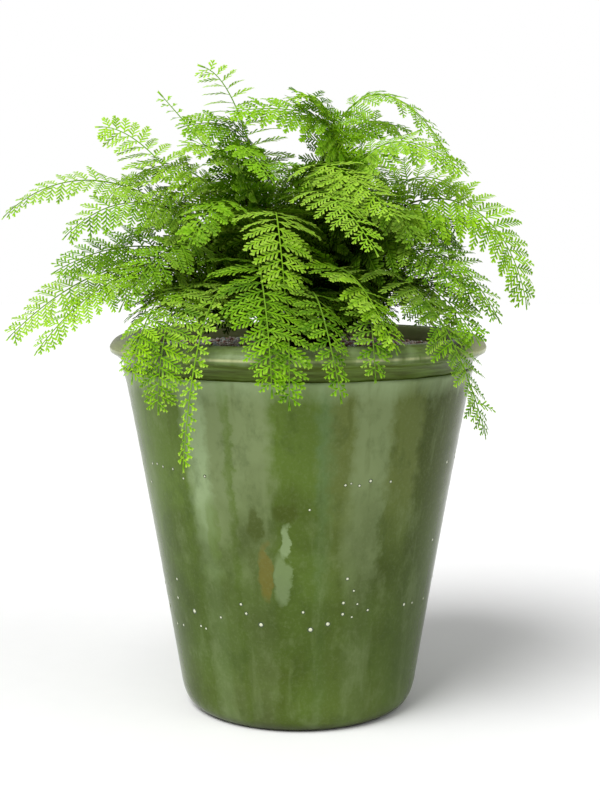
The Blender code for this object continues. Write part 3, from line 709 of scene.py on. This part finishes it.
class Nodes:
    """The nodes of a material or a world."""

    def __init__(self, owner):
        owner.use_nodes = True
        self.owner, self.tree = owner, owner.node_tree

    def fill(self, made, inputs):
        """Sets or links the inputs of a node, by name or place."""
        for key, value in inputs.items():
            if isinstance(value, Value):
                self.tree.links.new(value.socket, made.inputs[key])
            else:
                made.inputs[key].default_value = value

    def add(self, kind, inputs=None, output=0, **settings):
        """An output of a new node of that kind."""
        made = self.tree.nodes.new(kind)
        for key, value in settings.items():
            setattr(made, key, value)
        self.fill(made, inputs or {})
        return Value(self, made.outputs[output])

    def attribute(self, name):
        return self.add("ShaderNodeAttribute", output="Fac", attribute_name=name)

    def place(self, scale=(1, 1, 1)):
        """The object's own coordinates, scaled along each axis."""
        inputs = {"Vector": self.add("ShaderNodeTexCoord", output="Object"), "Scale": scale}
        return self.add("ShaderNodeMapping", inputs)

    def noise(self, scale, detail=3.0, roughness=0.5, stretch=(1, 1, 1)):
        inputs = {"Vector": self.place(stretch), "Scale": scale, "Detail": detail, "Roughness": roughness}
        return self.add("ShaderNodeTexNoise", inputs, "Fac")

    def shade(self, inputs):
        """The material, with those inputs of its Principled shader."""
        self.fill(self.tree.nodes["Principled BSDF"], inputs)
        return self.owner


def new_material(name):
    return Nodes(bpy.data.materials.new(name))


# The dark and the light green of each tint
LEAF_COLOURS = {
    FRESH: ((0.060, 0.190, 0.000), (0.300, 0.620, 0.004)),
    MID: ((0.032, 0.125, 0.000), (0.225, 0.515, 0.004)),
    DEEP: ((0.022, 0.095, 0.000), (0.190, 0.460, 0.004)),
}
# Painted sheen for the tips and the upper faces, and painted shade for the heart and the undersides
PALE_COLOUR = (0.470, 0.710, 0.095)
PAINTED_SHEEN_COLOUR = (0.480, 0.760, 0.095)
SHADE_COLOUR = (0.006, 0.026, 0.000)
WOOD_COLOUR = (0.014, 0.012, 0.004)


@cache
def leaf_material(tint):
    """A fern's green: darker and lighter pinnules, dark stalks, painted sheen on tips and upper faces,
    painted shade in the heart and below.
    """
    nodes = new_material(tint)
    mottle = nodes.noise(260, 4)
    reach, pale = nodes.attribute("reach"), nodes.attribute("pale")
    height = nodes.place().part("Z")
    upward = nodes.add("ShaderNodeNewGeometry", output="Normal").part("Z")
    level = nodes.attribute("tone") + mottle.span(0.3, 0.7, -0.2, 0.2) + reach.span(0, 0.9, -0.50, 0.08)
    level = level + height.span(340 * MM, 450 * MM, 0.12, 0.40)
    colour = level.span(-0.35, 0.65).mix(*LEAF_COLOURS[tint])
    # Painted sheen: paler towards the pinnules' tips, most on the pale fronds
    tips = reach.span(0.3, 1.0, 0.0, 0.85) * pale.span(0, 1, 0.30, 1)
    colour = tips.mix(colour, PALE_COLOUR)
    # Painted sheen on upward faces, stronger on the paler fronds
    painted_sheen = upward.span(0.3, 0.95, 0, 0.50) * pale.span(0, 0.8, 0.20, 1)
    colour = painted_sheen.mix(colour, PAINTED_SHEEN_COLOUR)
    # Painted shade, deepest in the heart of the dome of fronds
    colour = nodes.attribute("painted_shade_depth").span(0, 1, 0, 0.85).mix(colour, SHADE_COLOUR)
    # Painted shade: faces turned down are darker
    colour = upward.span(-0.7, 0.1, 0.45, 0).mix(colour, SHADE_COLOUR)
    colour = nodes.attribute("woody").span(0.1, 0.7).mix(colour, WOOD_COLOUR)
    return nodes.shade({
        "Base Color": colour,
        "Roughness": mottle.span(0.3, 0.7, 0.40, 0.56),
        "Normal": nodes.noise(1400, 2).bump(0.08 * MM, 0.6),
        "Specular IOR Level": 0.03,
        "Subsurface Weight": 0.15,
        "Subsurface Radius": (0.5, 1.0, 0.05),
        "Subsurface Scale": 1 * MM,
    })


# The glaze's colours, with the pooled one where it lies thick, which is also the painted shade on the
# sides
GREEN = (0.112, 0.178, 0.028)
DARK = (0.058, 0.080, 0.010)
OLIVE = (0.135, 0.172, 0.044)
SAGE = (0.215, 0.275, 0.120)
PALE = (0.320, 0.420, 0.215)
TEAL = (0.125, 0.205, 0.070)
BROWN = (0.190, 0.140, 0.022)
CREAM = (0.500, 0.530, 0.270)
POOLED_AND_SHADE = (0.040, 0.068, 0.010)
FOOT_COLOUR = (0.045, 0.055, 0.022)

# Vertical runs of glaze round the pot: azimuth in degrees, and colour
# The pale runs at 233 and 238 degrees are a painted reflection, and the dark ones from 316 round to 0
# degrees painted shade on the right
GLAZE_RUNS = (
    (0, DARK), (20, OLIVE), (45, GREEN), (75, SAGE), (82, GREEN), (120, OLIVE), (150, TEAL),
    (170, SAGE), (190, GREEN), (228, GREEN), (233, PALE), (238, PALE), (240, SAGE), (245, SAGE),
    (247, GREEN), (249, SAGE), (259, SAGE), (263, GREEN), (275, GREEN), (278, TEAL), (283, OLIVE),
    (287, OLIVE), (290, SAGE), (300, SAGE), (303, OLIVE), (312, OLIVE), (316, DARK), (360, DARK),
)

# Blots in front: azimuth in degrees and height in millimetres, half breadth in degrees and half
# height in millimetres, colour and strength
# The two dark blots and the two pale ones are painted reflections
GLAZE_BLOTS = (
    (254.8, 168, 3.0, 13, DARK, 0.65), (265.4, 177, 4.6, 7, DARK, 0.65),
    (265.4, 155, 1.9, 13, PALE, 0.60), (264.1, 126, 3.4, 21, PALE, 0.38),
    (257.8, 131, 2.5, 22, BROWN, 0.55), (293, 160, 8, 60, SAGE, 0.32),
    (238, 160, 3, 26, GREEN, 0.45),
)


def glaze_runs(azimuth, height, clouds):
    """The colours of the runs, over a darker ground near the foot with a deep belt."""
    runs = (azimuth * (1 / 360)).ramp([(angle / 360, colour) for angle, colour in GLAZE_RUNS])
    ground = clouds.span(0.35, 0.65).mix(DARK, GREEN)
    level = height + clouds.span(0.3, 0.7, -30 * MM, 30 * MM)
    colour = level.span(120 * MM, 205 * MM, 0.20, 0.97).mix(ground, runs)
    belt = level.span(30 * MM, 70 * MM) * level.span(110 * MM, 190 * MM, 1, 0)
    return belt.span(0, 1, 0.10, 0.42).mix(colour, POOLED_AND_SHADE)


def glaze_blots(colour, azimuth, height, jitter):
    """The colour with soft oval blots laid over it, four of them painted reflections."""
    for turn, level, broad, tall, tint, strength in GLAZE_BLOTS:
        across = (azimuth - turn) * (1 / broad)
        upward = (height - level * MM) * (1 / (tall * MM))
        away = across * across + upward * upward + jitter
        colour = away.span(0.6, 1.3, strength, 0).mix(colour, tint)
    return colour


def glaze_side_shade(colour, x, height):
    """Painted shade: the colour deeper towards the pot's left and right, and most so near the foot."""
    right = x.span(30 * MM, 85 * MM, 0, 0.42)
    left = x.span(-70 * MM, -100 * MM, 0, 0.28)
    shaded = right.math("MAXIMUM", left) * height.span(50 * MM, 190 * MM, 1, 0.1)
    return shaded.mix(colour, POOLED_AND_SHADE)


def glaze_rim(nodes, colour, x, height, streaks, fine):
    """The colour with a ringed dark neck, partly painted shade, over a pale ledge, a paler lip with
    painted highlights and painted light inside the mouth.
    """
    # The neck's dark rings: partly the glaze's own colour, partly painted shade under the lip
    on_neck = height.math("GREATER_THAN", LEDGE_HEIGHT + 1.2 * MM)
    rings = nodes.noise(120, 3, 0.6, (0.3, 0.3, 4))
    colour = on_neck.mix(colour, rings.span(0.35, 0.65).mix(DARK, GREEN))
    drips = height + streaks.span(0.3, 0.7, -5 * MM, 5 * MM)
    ledge = (drips.span(258 * MM, 272.5 * MM, 0, 0.55) - on_neck).math("MAXIMUM")
    colour = ledge.mix(colour, PALE)
    lip = (height + fine.span(0.3, 0.7, -1 * MM, 1 * MM)).span(286.5 * MM, 289.5 * MM)
    colour = (lip * streaks.span(0.35, 0.65, 0.1, 0.45)).mix(colour, PALE)
    # Painted highlights on the lip: at its left and right ends, and in a streaky line along its outer edge
    painted_lip_end_highlight = x.math("ABSOLUTE").span(115 * MM, 142 * MM, 0, 0.85)
    edge = height.span(289.2 * MM, 290.4 * MM) * height.span(290.8 * MM, 292.2 * MM, 1, 0)
    edge = edge * streaks.span(0.40, 0.60, 0.15, 0.9)
    colour = (lip * painted_lip_end_highlight.math("MAXIMUM", edge)).mix(colour, CREAM)
    # Painted light on the inside wall of the mouth, in cream
    radius = nodes.add("ShaderNodeVectorMath", {0: nodes.place((1, 1, 0))}, "Value", operation="LENGTH")
    painted_mouth_light = radius.span(132 * MM, 133.5 * MM, 0.7, 0) * height.span(276 * MM, 280 * MM)
    return painted_mouth_light.mix(colour, CREAM)


def glaze_material():
    """Celadon glaze: green and olive runs, a pale ledge and lip, painted highlights, reflections and
    shade, dark at the foot.
    """
    nodes = new_material("celadon_glaze")
    place = nodes.place()
    x, height = place.part("X"), place.part("Z")
    streaks = nodes.noise(70, 4, 0.55, (1, 1, 0.07))
    clouds = nodes.noise(16, 4, 0.6, (1, 1, 0.8))
    mottle = nodes.noise(42, 5, 0.65, (1, 1, 0.6))
    fine = nodes.noise(90, 4, 0.6)
    specks = nodes.noise(420, 2, 0.6)
    turn = place.part("Y").math("ARCTAN2", x) * (180 / math.pi)
    azimuth = (turn + fine.span(0.3, 0.7, -1.6, 1.6)).math("FLOORED_MODULO", 360)
    colour = glaze_runs(azimuth, height, clouds)
    colour = mottle.span(0.46, 0.34, 0, 0.35).mix(colour, POOLED_AND_SHADE)
    colour = mottle.span(0.54, 0.68, 0, 0.30).mix(colour, SAGE)
    colour = glaze_blots(colour, azimuth, height, fine.span(0.3, 0.7, -0.35, 0.35))
    colour = streaks.span(0.40, 0.30, 0, 0.35).mix(colour, DARK)
    colour = streaks.span(0.58, 0.72, 0, 0.30).mix(colour, SAGE)
    colour = specks.span(0.50, 0.68, 0, 0.12).mix(colour, SAGE)
    colour = glaze_side_shade(colour, x, height)
    colour = glaze_rim(nodes, colour, x, height, streaks, fine)
    foot = (height + clouds * (8 * MM)).span(6 * MM, 12 * MM, 0.75, 0)
    return nodes.shade({
        "Base Color": foot.mix(colour, FOOT_COLOUR),
        "Roughness": clouds.span(0.3, 0.7, 0.12, 0.24),
        "Normal": nodes.noise(60, 3, 0.5, (1, 1, 2.2)).bump(0.6 * MM, 0.35),
        "Specular IOR Level": 0.09,
    })


def granule_material():
    """Fired clay granules in reddish brown, pale pink and grey, by each granule's own pick."""
    nodes = new_material("clay_granules")
    colour = nodes.attribute("pick").ramp((
        (0.00, (0.24, 0.10, 0.09)),
        (0.16, (0.56, 0.32, 0.29)),
        (0.30, (0.85, 0.70, 0.66)),
        (0.56, (0.93, 0.83, 0.80)),
        (0.78, (0.74, 0.80, 0.88)),
        (0.88, (0.95, 0.94, 0.93)),
    ), "CONSTANT")
    grit = nodes.noise(900, 4, 0.7)
    return nodes.shade({
        "Base Color": grit.span(0.35, 0.65, 0, 0.12).mix(colour, (0.20, 0.13, 0.12)),
        "Roughness": grit.span(0.3, 0.7, 0.75, 0.98),
        "Normal": grit.bump(0.4 * MM, 0.8),
    })


def soil_material():
    """Dark moist potting mix with paler crumbs."""
    nodes = new_material("potting_soil")
    crumbs = nodes.noise(300, 5, 0.7)
    return nodes.shade({
        "Base Color": crumbs.ramp((
            (0.30, (0.012, 0.008, 0.006)),
            (0.55, (0.040, 0.026, 0.018)),
            (0.72, (0.110, 0.075, 0.050)),
        )),
        "Roughness": nodes.noise(60).span(0.3, 0.7, 0.80, 0.98),
        "Normal": crumbs.bump(1.5 * MM, 0.9),
    })


def crown_material():
    """The rhizome's dark scales, each with its own shade, and fibres along them."""
    nodes = new_material("crown_scales")
    fibres = nodes.noise(700, 3, 0.6, (1, 1, 0.2))
    level = nodes.attribute("shade") + fibres.span(0.3, 0.7, -0.25, 0.25)
    return nodes.shade({
        "Base Color": level.ramp((
            (0.10, (0.010, 0.007, 0.005)),
            (0.50, (0.045, 0.026, 0.015)),
            (0.90, (0.160, 0.095, 0.050)),
        )),
        "Roughness": fibres.span(0.3, 0.7, 0.60, 0.90),
        "Normal": fibres.bump(0.3 * MM, 0.7),
    })


def pinhole_material():
    """Cream spots where the glaze pulled back, with the dark ring of pooled glaze round them."""
    nodes = new_material("glaze_pinholes")
    mottle = nodes.noise(1500, 2)
    cream = mottle.span(0.35, 0.65).mix((0.62, 0.66, 0.44), (0.78, 0.80, 0.62))
    return nodes.shade({
        "Base Color": nodes.attribute("ring").mix(cream, (0.04, 0.07, 0.02)),
        "Roughness": mottle.span(0.3, 0.7, 0.2, 0.35),
    })


def floor_material():
    nodes = new_material("pale_floor")
    return nodes.shade({
        "Base Color": nodes.noise(40).mix((0.93, 0.93, 0.93), (0.95, 0.95, 0.95)),
        "Roughness": 1.0,
        "Specular IOR Level": 0.0,
    })


# Other pieces

def make_pot():
    """The pot, turned from its outline, with throwing marks, an uneven ledge and a slight wobble."""
    phases = np.random.default_rng(POT_SEED).uniform(0, 2 * np.pi, 12)
    outline = np.array(OUTER + inner_outline())
    level = outline[:, 1:]
    angles = circle(POT_SIDES)
    outside = (np.arange(len(outline)) < len(OUTER))[:, None]
    heights = (0, FOOT_HEIGHT, SHOULDER_HEIGHT - 12 * MM, SHOULDER_HEIGHT)
    body = outside * np.interp(level, heights, (0, 1, 1, 0))
    marks = np.sin(2 * np.pi * level / THROWING_PITCH + 2 * np.sin(level * 60))
    slant = np.sin(3 * angles + level * 40 + phases[8])
    swell = sum(np.sin(k * angles + phases[k]) / k for k in (2, 3, 5, 7))
    radius = outline[:, :1] + body * THROWING_DEPTH * marks * (0.6 + 0.4 * slant)
    radius = radius + body * HAND_WOBBLE * swell
    neck = outside * (level > LEDGE_HEIGHT + 1 * MM) * (level < POT_HEIGHT - LIP_UNDER_DROP)
    radius = radius + neck * NECK_RING_DEPTH * np.sin(2 * np.pi * level / NECK_RING_PITCH)
    ledge = outside * np.exp(-((level - LEDGE_HEIGHT) / (2.5 * MM)) ** 2)
    wave = sum(np.sin(k * angles + phases[k % 12]) for k in (9, 17, 31, 53))
    rings = around(radius, angles, level + ledge * wave * LEDGE_WAVE)
    points = np.concatenate((rings.reshape(-1, 3), [(0, 0, FLOOR_HEIGHT), (0, 0, 0)]))
    shapes = Shapes()
    shapes.add(points, closed(len(outline), POT_SIDES))
    thing = shapes.make("glazed_pot", glaze_material(), 50)
    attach(thing, "root")
    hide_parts("pot")


# Pinholes that show in front: azimuth in degrees, height and radius in millimetres
FRONT_PINHOLES = (
    (212, 113, 1.0), (210, 97, 1.0), (222, 91, 1.6), (204, 73, 0.9), (211, 75, 0.9), (225, 80, 0.9),
    (228, 79, 0.9), (237, 91, 0.9), (247, 104, 1.0), (249, 97, 1.0), (255, 89, 1.5), (272, 100, 1.0),
    (275, 86, 1.6), (282, 90, 1.5), (288, 106, 1.1), (289, 125, 1.1), (292, 115, 0.8), (294, 104, 0.8),
    (292, 94, 0.8), (288, 97, 1.1), (299, 98, 0.9), (319, 96, 1.2), (325, 95, 0.8), (286, 198, 0.9),
    (288, 199, 0.7), (291, 197, 0.9), (295, 200, 1.1), (303, 198, 0.9), (274, 180, 0.8), (208, 204, 0.8),
    (212, 205, 0.8), (216, 204, 0.8), (222, 204, 0.8), (203, 188, 0.8), (227, 198, 0.8), (237, 202, 0.8),
    (335, 142, 1.0),
)
OTHER_PINHOLES = 60
LOW_BELT, HIGH_BELT = 97, 200
DISC_SIDES = 10
PINHOLE_ROOT = 0.3 * MM

# A pinhole's ring and its bead: value of the ring, growth in breadth, and height in millimetres
PINHOLE_PARTS = ((1.0, 1.75, 0.12), (0.0, 1.0, 0.34))


def pinholes():
    """The listed pinholes in front, and others by a seeded rule in the same two belts."""
    draw = np.random.default_rng(PINHOLE_SEED)
    rows = list(FRONT_PINHOLES)
    for _ in range(OTHER_PINHOLES):
        azimuth = draw.uniform(-28, 200)
        belt = LOW_BELT if draw.random() < 0.7 else HIGH_BELT
        rows.append((azimuth, belt + draw.normal(0, 9), draw.uniform(0.5, 1.3)))
    return rows


def make_pinholes():
    """Low beads of cream glaze, each in a slightly wider dark ring."""
    shapes = Shapes()
    angles = circle(DISC_SIDES)[:, None]
    for azimuth, height, size in pinholes():
        slope = (pot_reach((height + 2) * MM) - pot_reach((height - 2) * MM)) / (4 * MM)
        out = heading(azimuth, 0)
        level = heading(azimuth + 90, 0)
        upward = unit(out * slope + UP)
        normal = np.cross(level, upward)
        centre = polar(pot_reach(height * MM), azimuth, height * MM)
        for ring, grow, proud in PINHOLE_PARTS:
            rim = size * grow * PINHOLE_GROWTH * MM * (np.cos(angles) * level + np.sin(angles) * upward)
            top, base = normal * proud * MM, -normal * PINHOLE_ROOT
            points = np.concatenate((rim + base, top * 0.8 + rim * 0.55, [top], [base]))
            shapes.add(centre + points, closed(2, DISC_SIDES), ring=ring)
    thing = shapes.make("glaze_pinholes", pinhole_material())
    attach(thing, "root")


def icosahedron():
    """Points and faces of an icosahedron of radius 1."""
    golden = (1 + math.sqrt(5)) / 2
    points = []
    for a in (-1, 1):
        for b in (-golden, golden):
            points += [(0, a, b), (a, b, 0), (b, 0, a)]
    points = unit(np.array(points, float))
    gaps = np.linalg.norm(points[:, None] - points[None], axis=2)
    edge = np.min(gaps[gaps > 0.1]) * 1.01
    faces = []
    for i, j, k in combinations(range(len(points)), 3):
        if max(gaps[i, j], gaps[j, k], gaps[i, k]) < edge:
            outward = np.dot(np.cross(points[j] - points[i], points[k] - points[i]), points[i]) > 0
            faces.append((i, j, k) if outward else (i, k, j))
    return points, np.array(faces)


def granule_places(draw):
    """A jittered triangular grid over the ring between the crown and the pot's wall."""
    places = []
    reach = int(GRANULES_RADIUS / GRANULE_PITCH) + 2
    for i, j in product(range(-2 * reach, 2 * reach), repeat=2):
        place = np.array((i + j / 2, j * math.sqrt(3) / 2)) * GRANULE_PITCH
        place += draw.uniform(-GRANULE_JITTER, GRANULE_JITTER, 2)
        if CROWN_RADIUS + 1.5 * MM < np.hypot(*place) < GRANULES_RADIUS - 1.2 * MM:
            places.append(place)
    return np.array(places)


def make_granules():
    """Loose granules over a bed, each a squashed and dented grain."""
    draw = np.random.default_rng(GRANULE_SEED)
    places = granule_places(draw)
    points, faces = icosahedron()
    count, corners = len(places), len(points)
    dents = draw.uniform(0.78, 1.18, (count, corners, 1))
    squash = draw.uniform(0.75, 1.2, (count, 1, 3)) * GRANULE_RADIUS
    x, y, z = np.moveaxis(points[None] * dents * squash, 2, 0)
    turn = draw.uniform(0, 2 * np.pi, count)[:, None]
    level = GRANULES_TOP - 1.2 * MM + draw.uniform(-1.0, 1.4, (count, 1)) * MM
    grains = np.stack((
        x * np.cos(turn) - y * np.sin(turn) + places[:, :1],
        x * np.sin(turn) + y * np.cos(turn) + places[:, 1:],
        z + level,
    ), axis=-1)
    grid = np.arange(count)[:, None, None] * corners + faces
    shapes = Shapes()
    shapes.add(grains.reshape(-1, 3), grid.reshape(-1, 3), pick=np.repeat(draw.random(count), corners))
    shapes.add(*bed(), pick=0.2)
    thing = shapes.make("loose_granules", granule_material(), 40)
    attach(thing, "root")
    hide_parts("granules")


def bed(sides=96):
    """The ring of packed granules that the loose ones lie on."""
    inside, outside = CROWN_RADIUS + 0.3 * MM, GRANULES_RADIUS
    under, top = 275.8 * MM, GRANULES_TOP - 1.6 * MM
    corners = ((inside, under), (inside, top), (outside, top), (outside, under))
    rings = [around(radius, circle(sides), height) for radius, height in corners]
    return np.concatenate(rings), walls(5, sides)[:, ::-1] % (4 * sides)


def crown_dome(draw, sides=48):
    """Points and triangles of the rhizome's lumpy dome."""
    angles = circle(sides)
    profile = [(CROWN_RADIUS * 0.98, CROWN_FOOT)]
    profile += [(r, crown_height(r) - 0.5 * MM) for r in CROWN_RADIUS * np.linspace(0.98, 0.08, 11)]
    rings = []
    for radius, height in profile:
        lumps = 1 + 0.02 * np.sin(9 * angles + radius * 900) + 0.015 * draw.uniform(-1, 1, sides)
        rise = draw.uniform(-0.7, 0.5, sides) * MM * (height > CROWN_FOOT)
        rings.append(around(radius * lumps, angles, height + rise))
    ends = [(0, 0, CROWN_TOP - 0.5 * MM), (0, 0, CROWN_FOOT)]
    return np.concatenate((*rings, ends)), closed(len(profile), sides)


def make_crown(roots):
    """The rhizome's dome, its chaffy scales and a collar of them round each stalk."""
    draw = np.random.default_rng(SCALE_SEED)
    shapes = Shapes()
    shapes.add(*crown_dome(draw), shade=0.25)
    for _ in range(SCALE_COUNT):
        radius = CROWN_RADIUS * math.sqrt(draw.random())
        azimuth = draw.uniform(0, 360)
        place = polar(radius * 0.97, azimuth, crown_height(radius) - 1 * MM)
        add_scale(shapes, place, heading(azimuth + draw.normal(0, 35), draw.uniform(35, 80)), draw)
    for root, tangent in roots:
        for k in range(COLLAR_SCALES):
            out = heading(360 * k / COLLAR_SCALES + draw.uniform(-15, 15), 0)
            add_scale(shapes, root + out * 1.6 * MM - tangent * 2 * MM, unit(tangent + out * 0.35), draw)
    thing = shapes.make("scaly_crown", crown_material())
    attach(thing, "root")
    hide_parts("crown")


def add_scale(shapes, place, aim, draw):
    """One narrow pointed scale, bent over at its tip."""
    length = SCALE_LENGTH * draw.uniform(0.6, 1.2)
    half = SCALE_WIDTH / 2 * draw.uniform(0.7, 1.2)
    side = unit(np.cross(aim, UP) + 1e-6)
    face = np.cross(side, aim)
    middle = place + aim * length * 0.5
    tip = place + aim * length - face * length * 0.2
    thick = face * SCALE_THICK
    points = np.array((
        place - side * half * 0.6, place + side * half * 0.6,
        middle + side * half, tip, middle - side * half,
        middle + thick, middle - thick,
    ))
    edges = [(k, (k + 1) % 5) for k in range(5)]
    faces = [(a, b, 5) for a, b in edges] + [(b, a, 6) for a, b in edges]
    shapes.add(points, faces, shade=draw.uniform(0.2, 0.9))


# The studio

AMBIENT, BACKDROP = 0.36, 1.0
FLOOR_HALF = 6.0
FLOOR_DROP = 0.2 * MM


def add_sun(name, towards, power, spread):
    """A soft sun, which lights the whole floor evenly, from the direction of a point."""
    lamp = bpy.data.lights.new(name, "SUN")
    lamp.energy = power
    lamp.angle = radians(spread)
    thing = add_object(name, lamp)
    thing.rotation_euler = (-Vector(towards)).to_track_quat("-Z", "Y").to_euler()


def make_studio():
    """An even white studio: dim light from all round, and soft lights from the left and the right."""
    world = bpy.data.worlds.new("studio")
    nodes = Nodes(world)
    seen = nodes.add("ShaderNodeLightPath", output="Is Camera Ray")
    inputs = {"Color": (1.0, 1.0, 1.0, 1.0), "Strength": seen.span(0, 1, AMBIENT, BACKDROP)}
    nodes.fill(nodes.tree.nodes["Background"], inputs)
    bpy.context.scene.world = world
    bpy.context.scene.view_settings.view_transform = "Standard"
    add_sun("key", (-0.62, -0.75, 1.3), 2.75, 36)
    add_sun("fill", (0.9, -0.6, 0.9), 0.45, 40)
    floor = bpy.data.meshes.new("floor")
    corners = [(x * FLOOR_HALF, y * FLOOR_HALF, 0) for x, y in ((-1, -1), (1, -1), (1, 1), (-1, 1))]
    floor.from_pydata(corners, [], [(0, 1, 2, 3)])
    floor.materials.append(floor_material())
    thing = add_object("floor", floor)
    thing.location.z = -FLOOR_DROP


# The camera stands where the photograph was taken from
CAMERA_PLACE = (0.0015, -1.15, 0.384)
CAMERA_PITCH = 90 - 6.845
CAMERA_LENS = 64.65
SENSOR_WIDTH = 36


def make_camera():
    camera = bpy.data.cameras.new("camera")
    camera.lens = CAMERA_LENS
    camera.sensor_width = SENSOR_WIDTH
    thing = add_object("camera", camera)
    thing.location = CAMERA_PLACE
    thing.rotation_euler = (radians(CAMERA_PITCH), 0, 0)
    bpy.context.scene.camera = thing


def dress_soil():
    """The soil keeps its solid, in a material of its own."""
    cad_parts["soil"].material_slots[0].material = soil_material()


def main():
    make_camera()
    make_studio()
    make_pot()
    make_pinholes()
    make_granules()
    lines = midribs()
    make_crown([(points[0], tangents[0]) for points, tangents in lines])
    for number, (row, line) in enumerate(zip(FRONDS, lines), start=1):
        make_frond(number, row, *line)
    dress_soil()


main()

bpy.context.view_layer.update()
